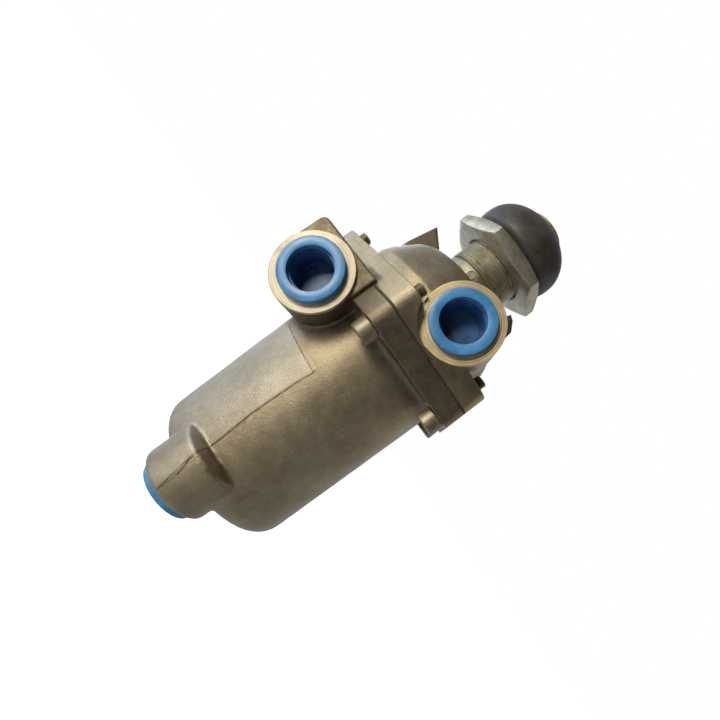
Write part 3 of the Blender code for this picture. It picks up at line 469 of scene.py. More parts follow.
light = mixed(tree, left_half, (0.53, 0.435, 0.275, 1.0), (0.57, 0.505, 0.385, 1.0))
dark = mixed(tree, left_half, (0.23, 0.172, 0.100, 1.0), (0.29, 0.238, 0.165, 1.0))
bare_skin = placed(tree, cast_skin, {"Light": light, "Dark": dark})
from_port = node(tree, "VectorMath", {0: node(tree, "CombineXYZ", {"X": place["X"], "Z": height}).outputs[0],
                                      1: (DELIVERY_PORT[0], 0.0, DELIVERY_PORT[2])}, operation="DISTANCE")
on_front = spread(tree, place["Y"], -0.020, -0.010, 1.0, 0.0)
# painted shade round the lower half of the delivery block, where it meets the body
shade_round_block = times(tree, spread(tree, from_port.outputs["Value"], 0.0185, 0.0230, 1.0, 0.0),
                    spread(tree, height, -0.0090, -0.0150))
shade_round_block = times(tree, shade_round_block, on_front)
on_block = times(tree, spread(tree, place["X"], -0.0130, -0.0115, 1.0, 0.0),
                 times(tree, spread(tree, place["Y"], -0.0430, -0.0400, 1.0, 0.0),
                       near(tree, height, -0.0400, 0.0040, 0.0010)))
# painted shade under the flange and on its side, darkening the lobes where they should get less light
shade_under_flange = near(tree, height, -0.0145, -0.0104, 0.0050)
shade_on_flange = near(tree, height, -0.0104, -0.0003, 0.0003)
rib_front = near(tree, place["Y"], -0.0014, -0.0009, 0.0003)
# painted shade on the front face of the ribs
shade_on_rib = times(tree, spread(tree, height, 0.0300, 0.0330), rib_front)
dirt_and_shade = maths(tree, "MAXIMUM", shade_round_block, times(tree, shade_under_flange, 0.7))
dirt_and_shade = maths(tree, "MAXIMUM", dirt_and_shade, times(tree, shade_on_flange, 0.6))
dirt_and_shade = maths(tree, "MAXIMUM", dirt_and_shade, on_block)
dirt_and_shade = times(tree, dirt_and_shade, spread(tree, clouds(tree, 300, 4.0, 0.65), 0.30, 0.60, 0.50, 0.82))
dirt_and_shade = maths(tree, "MAXIMUM", dirt_and_shade, times(tree, shade_on_rib, 0.93))
# one dark colour for the dirt on the block's front and for the painted shade round the block, flange and ribs
skin_colour = mixed(tree, dirt_and_shade, bare_skin["Color"], DIRT_AND_SHADE)
right_of_line = maths(tree, "SUBTRACT", place["X"], line)
from_line = maths(tree, "ABSOLUTE", right_of_line)
seam = maths(tree, "MAXIMUM", times(tree, near(tree, from_line, -1.0, 0.00020, 0.00020),
                                    spread(tree, above_edge, -0.0002, 0.0002, 1.0, 0.0)),
             times(tree, near(tree, above_edge, -0.0001, 0.0003, 0.0002),
                   spread(tree, right_of_line, -0.0002, 0.0002, 1.0, 0.0)))
seam = times(tree, seam, times(tree, on_front,
                               spread(tree, clouds(tree, 400, 3.0), 0.35, 0.60, 0.15, 0.60)))
beside_line = near(tree, right_of_line, 0.0, 0.0040, 0.0060)
pocks = times(tree, beside_line, spread(tree, height, -0.0560, -0.0680))
pocks = times(tree, pocks, spread(tree, clouds(tree, 700, 3.0, 0.6), 0.62, 0.68))
pocks = times(tree, pocks, on_front)
blemishes = maths(tree, "MAXIMUM", times(tree, pocks, 0.30), seam)
skin_colour = mixed(tree, blemishes, skin_colour, SEAM_DIRT)
skin_height = maths(tree, "SUBTRACT", bare_skin["Height"], times(tree, pocks, 0.4))
finish_material(tree, shader, skin_colour, bare_skin["Roughness"], skin_height, 0.00024, 1.0)


def milled(name, centre, across=(1.0, 0.0, 1.0), pitch=0.0005, light=(0.64, 0.57, 0.41, 1.0),
           dark=(0.40, 0.34, 0.23, 1.0)):
    """Machined aluminium with rings round an axis."""
    material, tree, shader = new_material(name, 0.62)
    rings = placed(tree, tool_rings, {"Centre": centre, "Across": across, "Pitch": pitch})
    stain = clouds(tree, 130, 4.0)
    tone = times(tree, rings["Smear"], stain)
    colour = mixed(tree, spread(tree, tone, 0.12, 0.36), dark, light)
    roughness = spread(tree, rings["Smear"], 0.3, 0.7, 0.40, 0.54)
    finish_material(tree, shader, colour, roughness, rings["Rings"], 0.00003, 0.5)
    return material


def down(port):
    """A port's centre in the part's frame."""
    return (port[0], port[1], port[2] + JOINT_HEIGHT)


bored_alloy = milled("bored_alloy", (0.0, 0.0, 0.0), (1.0, 1.0, 1.0), 0.0007)
delivery_face = milled("delivery_face", down(DELIVERY_PORT), light=(0.56, 0.475, 0.330, 1.0),
                       dark=(0.34, 0.285, 0.190, 1.0))
supply_face = milled("supply_face", down(END_BOSS), (1.0, 1.0, 0.0))

body_low_radius = BODY_RADIUS - BODY_DRAFT * (-BODY_BOTTOM - BODY_CORNER)
fillet_radius = BODY_RADIUS + FLANGE_FILLET
body_profile = [(0.0, 0.0015), (fillet_radius, 0.0015)]
body_profile += arc(fillet_radius, HOUSING_FLANGE_UNDERSIDE - FLANGE_FILLET, FLANGE_FILLET, 90, 180)
body_profile += arc(body_low_radius - BODY_CORNER, BODY_BOTTOM + BODY_CORNER, BODY_CORNER, 0, -90, 12)
body_profile.append((0.0, BODY_BOTTOM))


def block_outline(left=None):
    """Front view of the delivery block: a half circle under straight sides, its outer top corner rounded."""
    x, height = DELIVERY_PORT[0], DELIVERY_PORT[2]
    top = BLOCK_RISE if left is None else -JOINT_GAP
    points = [(x + BLOCK_RADIUS, top)]
    points += arc(x - BLOCK_RADIUS + BLOCK_CORNER, top - BLOCK_CORNER, BLOCK_CORNER, 90, 180, 6)
    points += arc(x, height, BLOCK_RADIUS, 180, 360, 36)
    if left is None:
        return points
    low = height - math.sqrt(BLOCK_RADIUS ** 2 - (left - x) ** 2)
    return [(left, top), (left, low)] + [(a, b) for a, b in points if a > left and b < height] + points[:1]


corner_radius = END_BOSS_RADIUS - END_BOSS_CORNER
end_profile = [(0.0, END_BOSS[2]), (corner_radius, END_BOSS[2])]
end_profile += arc(corner_radius, END_BOSS[2] + END_BOSS_CORNER, END_BOSS_CORNER, -90, 0)
end_profile += arc(corner_radius, END_BOSS_SHOULDER - END_BOSS_CORNER, END_BOSS_CORNER, 0, 60)
end_profile += [(END_BOSS_NECK, END_BOSS_SHOULDER + 0.0010), (0.0, END_BOSS_SHOULDER + 0.0010)]

housing = cast("lower_housing_casting", [
    turned(body_profile, segments=128),
    slab(flange_outline(0.0004), HOUSING_FLANGE_UNDERSIDE + 0.0001, 0.0012),
    slab(block_outline(), BLOCK_FRONT, BLOCK_BACK, "Y"),
    slab(block_outline(BLOCK_ROOT_LEFT), BLOCK_BACK - 0.0010, -0.0120, "Y"),
    turned(end_profile, END_BOSS[:2], 96),
], [cast_alloy, bored_alloy, delivery_face, supply_face])


def body_radius(height):
    """Radius of the housing's drafted body at a height."""
    return BODY_RADIUS + BODY_DRAFT * height


def boss_radius(height):
    """Radius of the end boss, the same at every height."""
    return END_BOSS_RADIUS


def flash_x(height):
    """Where the mould's joint runs at a height."""
    points = FLASH_UP_BOSS + FLASH_UP_BODY
    for (x, low), (next_x, high) in zip(points, points[1:]):
        if height < high:
            return x + (next_x - x) * min(1.0, max(0.0, (height - low) / (high - low)))
    return points[-1][0]


def flash(points, radius, centre_y):
    """The raised, uneven line that the mould's joint leaves on a round wall."""
    spots = []
    for (x, height), (next_x, next_height) in zip(points, points[1:]):
        steps = max(1, round(math.hypot(next_x - x, next_height - height) / FLASH_WIDTH))
        for i in range(steps):
            spot_x = x + (next_x - x) * i / steps
            spot_height = height + (next_height - height) * i / steps
            depth = math.sqrt(radius(spot_height) ** 2 - spot_x ** 2)
            spots.append(Vector((spot_x, centre_y - depth, spot_height)))
    loops = []
    for i, spot in enumerate(spots):
        outward = Vector((spot.x, spot.y - centre_y, 0.0)).normalized()
        along = spots[min(i + 1, len(spots) - 1)] - spots[max(i - 1, 0)]
        half = outward.cross(along).normalized() * FLASH_WIDTH / 2
        crest = outward * FLASH_HEIGHT * max(0.2, 0.8 + 1.1 * noise.noise(spot * 700))
        middle = spot + half * 0.9 * noise.noise(spot * 450)
        root = outward * -FLASH_ROOT
        loops.append([middle - half + root, middle - half, middle - half * 0.2 + crest, middle + half,
                      middle + half + root])
    return stacked(loops)


# the left half of the mould stood a little proud of the right one
for vertex in housing.data.vertices:
    x, y, height = vertex.co
    if y > MOULD_STEP_FRONT or height > MOULD_STEP_TOP:
        continue
    left = flash_x(height) - x
    if left <= 0.0 or left > MOULD_STEP_REACH:
        continue
    rise = MOULD_STEP * min(1.0, left / FLASH_WIDTH) * (1.0 - left / MOULD_STEP_REACH)
    centre_y = END_BOSS[1] if height < END_BOSS_SHOULDER else 0.0
    vertex.co += Vector((x, y - centre_y, 0.0)).normalized() * rise
for points, radius, centre_y in ((FLASH_UP_BODY, body_radius, 0.0), (FLASH_ROUND, body_radius, 0.0),
                                 (FLASH_UP_BOSS, boss_radius, END_BOSS[1])):
    combine(housing, flash(points, radius, centre_y), "UNION")

cut(housing, slab(flange_outline(-FLANGE_ROOM), -JOINT_GAP, 0.0100), 1)
combine(housing, flange(HOUSING_FLANGE_UNDERSIDE, -JOINT_GAP), "UNION")
delivery_boss = [(0.0, -0.0040), (PORT_FACE_RADIUS, -0.0040), (PORT_FACE_RADIUS, -PORT_FACE_EDGE),
                 (PORT_FACE_RADIUS - PORT_FACE_EDGE, 0.0), (0.0, 0.0)]
combine(housing, out_of_port(turned(delivery_boss), DELIVERY_PORT), "UNION", 2)
seat_cut = [(0.0, SCREW_SEAT_LOW), (SCREW_SEAT_RADIUS, SCREW_SEAT_LOW),
            (SCREW_SEAT_RADIUS, SCREW_SEAT_HIGH), (0.0, SCREW_SEAT_HIGH)]
for k in range(SCREW_COUNT):
    cut(housing, turned(seat_cut, screw_centre(k), 48), 1)
    cut(housing, slab(circle(SCREW_HOLE_RADIUS, screw_centre(k), 32), -0.0200, 0.0050), 1)


def ring_groove(radius, high, low):
    """Profile points of a retaining ring's groove in a bore."""
    deep = radius + RING_GROOVE_DEPTH
    return [(radius, high), (deep, high), (deep, low), (radius, low)]


inside = [(0.0, CUT_PAST), (CHAMBER_RADIUS, CUT_PAST)] + ring_groove(CHAMBER_RADIUS, *SEAT_RING)
inside += [(CHAMBER_RADIUS, CHAMBER_BOTTOM), (SUPPLY_RADIUS, CHAMBER_BOTTOM)]
inside += ring_groove(SUPPLY_RADIUS, *GUIDE_RING) + [(SUPPLY_RADIUS, SUPPLY_BOTTOM)]
inside += [(SUMP_RADIUS, SUPPLY_BOTTOM), (SUMP_RADIUS, SUMP_BOTTOM), (0.0, SUMP_BOTTOM)]
cut(housing, turned(inside), 1)
for tool in port_bore(DELIVERY_PORT, DELIVERY_PASSAGE, -0.0380, DELIVERY_PASSAGE_SHIFT):
    cut(housing, tool, 1)
end_mouth = [(0.0, -0.1115), (END_FACE_RADIUS, -0.1115), (END_FACE_RADIUS, END_FACE_CUT), (0.0, END_FACE_CUT)]
cut(housing, turned(end_mouth, END_BOSS[:2], 72), 3)
end_walls = runs(PORT_BORE_RADIUS, -0.1088, -0.0980, PORT_THREAD_STEP)
end_bore = turned([(0.0, -0.1110), (PORT_MOUTH_RADIUS, -0.1110), (PORT_BORE_RADIUS, -0.1091)] + end_walls
                  + [(PORT_BORE_RADIUS, -0.0970), (0.0, -0.0945)], segments=72)
cut_thread(end_bore, PORT_BORE_RADIUS, -0.1090, -0.0980, PORT_PITCH, -PORT_THREAD_DEPTH)
bmesh.ops.translate(end_bore, vec=(END_BOSS[0], END_BOSS[1], 0.0), verts=end_bore.verts)
cut(housing, end_bore, 1)
cut(housing, slab(circle(DELIVERY_PASSAGE, END_PASSAGE, 40), -0.0980, -0.0920), 1)
finish_piece(housing, "valve_body", "casting", "lower_housing")


# Bonnet. The upper casting: a domed cover with its own flange, the exhaust port's boss and two thin ribs
# whose tips meet the floor plate. The exhaust port's face was milled after casting, and the cutter bit into
# the flange.
BONNET_FLANGE_TOP = 0.0105
BONNET_FILLET = 0.0020
BONNET_HOLE_RADIUS = 0.0031
BONNET_BORE_RADIUS = 0.0280
BONNET_BORE_TOP = 0.0190
CEILING_RADIUS = 0.0225
CEILING = 0.0278
NECK_HOLE_RADIUS = 0.0148
EXHAUST_PASSAGE = 0.0060
SPOT_FACE_RADIUS = 0.0174
EXHAUST_PORT = (0.0194, -0.0442, 0.0185)
DOME = ((0.0387, 0.0106), (0.0385, 0.0180), (0.0369, 0.0225), (0.0340, 0.0280), (0.0313, 0.0330),
        (0.0282, 0.0362), (0.0240, 0.0384), (0.0195, 0.0394))
RIB_THICKNESS = 0.0024
LEFT_RIB = ((-0.0300, 0.0280), (-0.0372, 0.0300), (-0.0370, 0.0339), (-0.0342, 0.0500), (-0.0245, 0.0438),
            (-0.0200, 0.0370))
RIGHT_RIB = ((0.0260, 0.0280), (0.0318, 0.0300), (0.0312, 0.0366), (0.0301, 0.0446), (0.0262, 0.0488),
             (0.0233, 0.0500), (0.0215, 0.0440), (0.0205, 0.0370))

exhaust_face = milled("exhaust_face", down(EXHAUST_PORT), pitch=0.0009, light=(0.68, 0.54, 0.30, 1.0),
                     dark=(0.38, 0.29, 0.15, 1.0))
dome_profile = [(0.0, -0.0010), (fillet_radius, -0.0010)]
dome_profile += arc(DOME[0][0] + BONNET_FILLET, BONNET_FLANGE_TOP + BONNET_FILLET, BONNET_FILLET, 270, 180)
dome_profile += list(DOME[1:]) + [(0.0, DOME[-1][1])]
exhaust_boss = [(0.0, -0.0320), (PORT_FACE_RADIUS, -0.0320), (PORT_FACE_RADIUS, 0.0012), (0.0, 0.0012)]


def rib_plate(points, inset=0.0):
    """One rib as an upright plate, thinner by inset on each side."""
    half = RIB_THICKNESS / 2 - inset
    return slab(points, -half, half, "Y")


bonnet = cast("bonnet_casting", [
    turned(dome_profile, segments=128),
    slab(flange_outline(0.0004), -0.0012, BONNET_FLANGE_TOP - 0.0001),
    out_of_port(turned(exhaust_boss), EXHAUST_PORT),
    rib_plate(LEFT_RIB),
    rib_plate(RIGHT_RIB),
], [cast_alloy, bored_alloy, exhaust_face])
cut(bonnet, slab(circle(0.075), -0.0100, JOINT_GAP), 1)
combine(bonnet, flange(JOINT_GAP, BONNET_FLANGE_TOP), "UNION")
combine(bonnet, rib_plate(LEFT_RIB, 0.0001), "UNION")
combine(bonnet, rib_plate(RIGHT_RIB, 0.0001), "UNION")
spot = [(0.0, 0.0), (SPOT_FACE_RADIUS, 0.0), (SPOT_FACE_RADIUS, 0.0150), (0.0, 0.0150)]
cut(bonnet, out_of_port(turned(spot, segments=128), EXHAUST_PORT), 2)
hollow = [(0.0, -CUT_PAST), (BONNET_BORE_RADIUS, -CUT_PAST), (BONNET_BORE_RADIUS, BONNET_BORE_TOP),
          (CEILING_RADIUS, CEILING), (NECK_HOLE_RADIUS, CEILING), (NECK_HOLE_RADIUS, 0.0420), (0.0, 0.0420)]
cut(bonnet, turned(hollow), 1)
for tool in port_bore(EXHAUST_PORT, EXHAUST_PASSAGE, -0.0320):
    cut(bonnet, tool, 1)
for k in range(SCREW_COUNT):
    cut(bonnet, slab(circle(BONNET_HOLE_RADIUS, screw_centre(k), 32), -0.0050, 0.0150), 1)
finish_piece(bonnet, "valve_body", "casting", "bonnet")


# Flange gasket. A thin sheet of dark fibre between the two castings, cut to the flange's outline.
gasket_fibre, tree, shader = new_material("gasket_fibre", 0.0)
speckle = clouds(tree, 1400, 3.0)
colour = mixed(tree, spread(tree, speckle, 0.35, 0.7), (0.050, 0.042, 0.032, 1.0), (0.140, 0.118, 0.086, 1.0))
finish_material(tree, shader, colour, spread(tree, speckle, 0.3, 0.7, 0.75, 0.9), speckle, 0.00003)


# Flange screws. Six zinc-plated M6 socket-head cap screws put in from the housing's side; their threaded
# ends stand out of the bonnet's flange.
SCREW_RADIUS = 0.0029
SCREW_THREAD_LOW = 0.0060
SCREW_PITCH = 0.0010
SCREW_THREAD_DEPTH = 0.0005
SCREW_THREAD_STEP = 0.00016
SCREW_TURN = 1.1
SOCKET_RADIUS = 0.0029
SOCKET_DEPTH = 0.0030
SCREW_HEAD_RADIUS = 0.0053
SCREW_HEAD_END = -0.0165
SCREW_HEAD_SEAT = -0.0103
SCREW_TIP = 0.0145


def plated_steel(name, light, dark, roughness=(0.26, 0.44), metallic=0.92):
    """Plated steel: patchy passivation, faint scratches and dull spots."""
    material, tree, shader = new_material(name, metallic)
    patches = clouds(tree, 150, 4.0)
    spots = clouds(tree, 900, 3.0, 0.7)
    scratches = clouds(tree, 500, 2.0, 0.6, (1.0, 1.0, 0.08))
    tone = maths(tree, "ADD", times(tree, patches, 0.6), times(tree, spots, 0.4))
    colour = mixed(tree, spread(tree, tone, 0.36, 0.62), dark, light)
    finish_material(tree, shader, colour, spread(tree, spots, 0.3, 0.7, *roughness), scratches, 0.00002, 0.6)
    return material


zinc_screw = plated_steel("zinc_screw", (0.40, 0.33, 0.22, 1.0), (0.22, 0.165, 0.10, 1.0),
                          (0.44, 0.58), 0.85)
screw_profile = [(0.0, SCREW_TIP), (0.0020, SCREW_TIP), (0.0023, SCREW_TIP - 0.0001)]
screw_profile += reversed(runs(SCREW_RADIUS, SCREW_THREAD_LOW, SCREW_TIP - 0.0006, SCREW_THREAD_STEP))
screw_profile += [(SCREW_RADIUS, SCREW_HEAD_SEAT), (SCREW_HEAD_RADIUS - 0.0002, SCREW_HEAD_SEAT),
                  (SCREW_HEAD_RADIUS, SCREW_HEAD_SEAT - 0.0002), (SCREW_HEAD_RADIUS, SCREW_HEAD_END + 0.0006)]
screw_profile += arc(SCREW_HEAD_RADIUS - 0.0006, SCREW_HEAD_END + 0.0006, 0.0006, -15, -90, 4)
screw_profile.append((0.0, SCREW_HEAD_END))
for k in range(SCREW_COUNT):
    bm = turned(screw_profile, segments=48)
    cut_thread(bm, SCREW_RADIUS, SCREW_THREAD_LOW, SCREW_TIP - 0.0005, SCREW_PITCH, SCREW_THREAD_DEPTH)
    x, y = screw_centre(k)
    turn = Matrix.Translation((x, y, 0.0)) @ Matrix.Rotation(SCREW_TURN * k, 4, "Z")
    bmesh.ops.transform(bm, matrix=turn, verts=bm.verts)
    screw = link(f"cap_screw_{k + 1}", bm, [zinc_screw])
    corners = [SCREW_TURN * k + side * math.pi / 3 for side in range(6)]
    socket = [(x + SOCKET_RADIUS * math.cos(a), y + SOCKET_RADIUS * math.sin(a)) for a in corners]
    cut(screw, slab(socket, SCREW_HEAD_END - CUT_PAST, SCREW_HEAD_END + SOCKET_DEPTH))
    finish_piece(screw, "valve_body", "screws", f"flange_screw_{k + 1}")


# Neck sleeve. A turned steel bush with a yellow passivated finish, pressed into the bonnet, with a pin set in
# its collar. Its M33 fine thread takes the lock nut.
NECK_RADIUS = 0.0165
COLLAR_LOW = 0.0397
COLLAR_TOP = 0.0444
THREAD_LOW = 0.0454
NECK_TOP = 0.0690
NECK_BORE = 0.0121
NECK_BOTTOM = 0.0324
SHANK_RADIUS = 0.0145
GROOVE_RADIUS = 0.0156
COLLAR_EDGE = 0.0003
NECK_CHAMFER = 0.0012
NECK_BORE_EDGE = 0.0004
NECK_PITCH = 0.0015
NECK_THREAD_DEPTH = 0.0006
NECK_THREAD_STEP = 0.00018
PIN_RADIUS = 0.0019
PIN_LENGTH = 0.0030
PIN_HEIGHT = 0.0421
yellow_steel = plated_steel("yellow_steel", (0.50, 0.44, 0.31, 1.0), (0.24, 0.20, 0.13, 1.0),
                            (0.40, 0.55), 0.8)
thread_start = THREAD_LOW + 0.0006
thread_end = NECK_TOP - NECK_CHAMFER
neck_profile = [(NECK_BORE, NECK_BOTTOM), (SHANK_RADIUS, NECK_BOTTOM), (SHANK_RADIUS, COLLAR_LOW),
                (NECK_RADIUS, COLLAR_LOW), (NECK_RADIUS, COLLAR_TOP - COLLAR_EDGE),
                (NECK_RADIUS - COLLAR_EDGE, COLLAR_TOP), (GROOVE_RADIUS, COLLAR_TOP),
                (GROOVE_RADIUS, THREAD_LOW)]
neck_profile += runs(NECK_RADIUS, thread_start, thread_end, NECK_THREAD_STEP)
neck_profile += [(NECK_RADIUS - NECK_CHAMFER, NECK_TOP), (NECK_BORE + NECK_BORE_EDGE, NECK_TOP),
                 (NECK_BORE, NECK_TOP - NECK_BORE_EDGE)]
bm = turned(neck_profile, segments=120)
cut_thread(bm, NECK_RADIUS, thread_start, thread_end, NECK_PITCH, NECK_THREAD_DEPTH)
neck = link("neck_bush", bm, [yellow_steel])
pin_centre = (0.0, -NECK_RADIUS, PIN_HEIGHT)
ring = turned([(0.00185, -0.0006), (0.0023, -0.0006), (0.0023, 0.0006), (0.00185, 0.0006)], segments=40)
cut(neck, out_of_port(ring, pin_centre))
finish_piece(neck, "valve_body", "sleeve", "neck_sleeve")

# the pin's flush end
pin_steel = plated_steel("pin_steel", (0.42, 0.36, 0.26, 1.0), (0.20, 0.17, 0.12, 1.0), (0.35, 0.5))
pin_profile = [(0.0, -PIN_LENGTH), (PIN_RADIUS, -PIN_LENGTH), (PIN_RADIUS, -0.0002), (0.0016, 0.0),
               (0.0, 0.0)]
pin = link("collar_pin", out_of_port(turned(pin_profile, segments=32), pin_centre), [pin_steel])
finish_piece(pin, "valve_body", "steel", "neck_pin")


# Lock nut. A thin zinc-plated hexagon nut, 50 mm across its flats, chamfered on both faces. It clamps the
# floor plate against the ribs.
NUT_LOW = 0.0570
NUT_TOP = 0.0644
NUT_FLAT = 0.0250
NUT_TURN = math.radians(17)
NUT_CHAMFER = 0.0016
NUT_BORE_RADIUS = 0.0170
NUT_MOUTH_RADIUS = 0.0190
nut_zinc = plated_steel("nut_zinc", (0.62, 0.58, 0.46, 1.0), (0.36, 0.32, 0.23, 1.0), (0.38, 0.52), 0.8)
nut_corner = NUT_FLAT / math.cos(math.pi / 6)
corners = [NUT_TURN + side * math.pi / 3 for side in range(6)]
hexagon = [(nut_corner * math.cos(a), nut_corner * math.sin(a)) for a in corners]
nut = link("hexagon_nut", slab(hexagon, NUT_LOW, NUT_TOP), [nut_zinc])
round_off = [(0.0, NUT_LOW), (NUT_FLAT - 0.0006, NUT_LOW), (nut_corner + 0.0002, NUT_LOW + NUT_CHAMFER),
             (nut_corner + 0.0002, NUT_TOP - NUT_CHAMFER), (NUT_FLAT - 0.0006, NUT_TOP), (0.0, NUT_TOP)]
combine(nut, turned(round_off, segments=128), "INTERSECT")
thread_start = NUT_LOW + 0.0012
thread_end = NUT_TOP - 0.0012
bore = [(0.0, NUT_LOW - CUT_PAST), (NUT_MOUTH_RADIUS, NUT_LOW - CUT_PAST),
        (NUT_BORE_RADIUS, NUT_LOW + 0.0010)]
bore += runs(NUT_BORE_RADIUS, thread_start, thread_end, NECK_THREAD_STEP)
bore += [(NUT_BORE_RADIUS, NUT_TOP - 0.0010), (NUT_MOUTH_RADIUS, NUT_TOP + CUT_PAST),
         (0.0, NUT_TOP + CUT_PAST)]
bm = turned(bore, segments=96)
cut_thread(bm, NUT_BORE_RADIUS, thread_start, thread_end, NECK_PITCH, -NECK_THREAD_DEPTH)
cut(nut, bm)
edge = nut.modifiers.new("edge", "BEVEL")
edge.width = 0.0002
edge.segments = 2
edge.limit_method = "ANGLE"
edge.angle_limit = math.radians(25)
applied(nut)
finish_piece(nut, "nut", "nut", "lock_nut")


# Rubber boot. A moulded black rubber bulb, dusty and slightly brown, whose lower lip grips the neck over the
# nut and whose upper lip grips the plunger.
BOOT = ((0.0172, 0.0648), (0.0210, 0.0655), (0.0236, 0.0675), (0.0244, 0.0705), (0.0243, 0.0750),
        (0.0231, 0.0790), (0.0204, 0.0830), (0.0168, 0.0860), (0.0133, 0.0880), (0.0124, 0.0887))
BOOT_INSIDE = ((0.0121, 0.0887), (0.0121, 0.0862), (0.0148, 0.0840), (0.0185, 0.0805), (0.0210, 0.0765),
               (0.0220, 0.0730), (0.0220, 0.0700), (0.0195, 0.0684), (0.0168, 0.0676), (0.0168, 0.0648))


def smooth_line(points, steps=5):
    """A curve through the points of a profile."""
    line = []
    for i in range(len(points) - 1):
        a, b, c, d = (Vector(points[min(max(i + k, 0), len(points) - 1)]) for k in (-1, 0, 1, 2))
        for s in range(steps):
            t = s / steps
            spot = 0.5 * ((2 * b) + (c - a) * t + (2 * a - 5 * b + 4 * c - d) * t ** 2
                          + (3 * b - a - 3 * c + d) * t ** 3)
            line.append((spot.x, spot.y))
    return line + [tuple(points[-1])]


black_rubber, tree, shader = new_material("black_rubber", 0.0)
bloom = clouds(tree, 120, 5.0, 0.65)
dust = clouds(tree, 1100, 4.0, 0.7)
tone = maths(tree, "ADD", times(tree, bloom, 0.65), times(tree, dust, 0.35))
colour = mixed(tree, spread(tree, tone, 0.38, 0.66), (0.026, 0.021, 0.016, 1.0), (0.090, 0.074, 0.055, 1.0))
flecks = spread(tree, clouds(tree, 2600, 1.0), 0.70, 0.76)
colour = mixed(tree, times(tree, flecks, 0.5), colour, (0.34, 0.30, 0.24, 1.0))
finish_material(tree, shader, colour, spread(tree, bloom, 0.3, 0.7, 0.42, 0.62), dust, 0.00010, 0.6)
boot = link("boot", turned(smooth_line(BOOT) + list(BOOT_INSIDE), segments=96), [black_rubber])
finish_piece(boot, "valve_body", "boot", "rubber_boot")
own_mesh(boot)


# Plunger. A turned steel button with a yellow passivated, slightly crowned end, on which the brake pedal's
# roller presses. A groove near its foot takes the circlip.
PLUNGER_RADIUS = 0.0118
PLUNGER_FOOT = 0.0300
PLUNGER_BORE = 0.0080
PLUNGER_BORE_TOP = 0.0620
PLUNGER_RIM = 0.0893
PLUNGER_EDGE = 0.0012
CIRCLIP_GROOVE = 0.0105
yellow_button = plated_steel("yellow_button", (0.80, 0.66, 0.20, 1.0), (0.52, 0.42, 0.11, 1.0),
                             (0.30, 0.45), 0.7)
button = [(0.0, PLUNGER_BORE_TOP), (PLUNGER_BORE, PLUNGER_BORE_TOP), (PLUNGER_BORE, PLUNGER_FOOT),
          (PLUNGER_RADIUS, PLUNGER_FOOT), (PLUNGER_RADIUS, 0.0306), (CIRCLIP_GROOVE, 0.0306),
          (CIRCLIP_GROOVE, 0.0324), (CIRCLIP_GROOVE, 0.0327), (PLUNGER_RADIUS, 0.0327),
          (PLUNGER_RADIUS, PLUNGER_RIM)]
button += arc(PLUNGER_RADIUS - PLUNGER_EDGE, PLUNGER_RIM, PLUNGER_EDGE, 0, 60, 5)
button += [(0.0100, 0.0909), (0.0080, 0.0919), (0.0050, 0.0928), (0.0020, 0.0932), (0.0, 0.0932)]
plunger = link("plunger_end", turned(button, segments=96), [yellow_button])
finish_piece(plunger, "plunger", "plunger", "plunger_button")


# Thread protectors. Blue polyethylene plugs pushed into the three ports: a thin flange on the port's face and
# a hollow shank in the thread, stepped just inside its mouth.
PLUG = ((0.0, -0.0122), (0.0095, -0.0122), (0.0107, -0.0110), (0.0107, 0.0003), (0.0130, 0.0003),
        (0.01325, 0.0006), (0.01325, 0.0027), (0.0131, 0.0030), (0.0128, 0.0031), (0.0096, 0.0031),
        (0.0093, 0.0030), (0.0092, 0.0027), (0.0092, 0.0003), (0.0090, 0.0001), (0.0086, 0.0001),
        (0.0084, -0.0002), (0.0079, -0.0104), (0.0074, -0.0110), (0.0, -0.0110))
CUP_RADIUS = 0.0091
CUP_LOW = -0.0115


def moulded_blue(name, light, dark):
    """Blue polyethylene: slightly see-through, with soft mottling and scuffs."""
    material, tree, shader = new_material(name, 0.0, Subsurface_Weight=0.12, Subsurface_Scale=0.0015, IOR=1.5)
    mottling = clouds(tree, 160, 3.0)
    scuffs = clouds(tree, 1200, 3.0, 0.7)
    colour = mixed(tree, spread(tree, mottling, 0.3, 0.7), dark, light)
    colour = mixed(tree, spread(tree, scuffs, 0.62, 0.75, 0.0, 0.35), colour, (0.45, 0.62, 0.78, 1.0))
    finish_material(tree, shader, colour, spread(tree, mottling, 0.3, 0.7, 0.30, 0.45), scuffs, 0.00004, 0.5)
    return material


blue_plug = moulded_blue("blue_plug", (0.075, 0.310, 0.570, 1.0), (0.040, 0.190, 0.400, 1.0))
# a darker copy of the plugs' blue plastic: painted shade inside the cups
shaded_blue_cup = moulded_blue("shaded_blue_cup", (0.036, 0.120, 0.280, 1.0), (0.014, 0.046, 0.130, 1.0))
for name, port, body, turn in (("delivery", DELIVERY_PORT, "delivery_plug", None),
                               ("exhaust", EXHAUST_PORT, "exhaust_plug", None),
                               ("supply", END_BOSS, "supply_plug", math.pi)):
    bm = turned(PLUG, segments=96)
    bm.faces.index_update()
    cup_numbers = []
    for face in bm.faces:
        middle = face.calc_center_median()
        if math.hypot(middle.x, middle.y) < CUP_RADIUS and middle.z > CUP_LOW:
            cup_numbers.append(face.index)
    if turn is None:
        out_of_port(bm, port)
    else:
        place = Matrix.Translation(port) @ Matrix.Rotation(turn, 4, "X")
        bmesh.ops.transform(bm, matrix=place, verts=bm.verts)
    plug = link(f"{name}_protector", bm, [blue_plug, shaded_blue_cup])
    # the cup's inner faces take the copy with painted shade
    for number in cup_numbers:
        plug.data.polygons[number].material_index = 1
    finish_piece(plug, body, "protectors", f"{name}_port_plug")


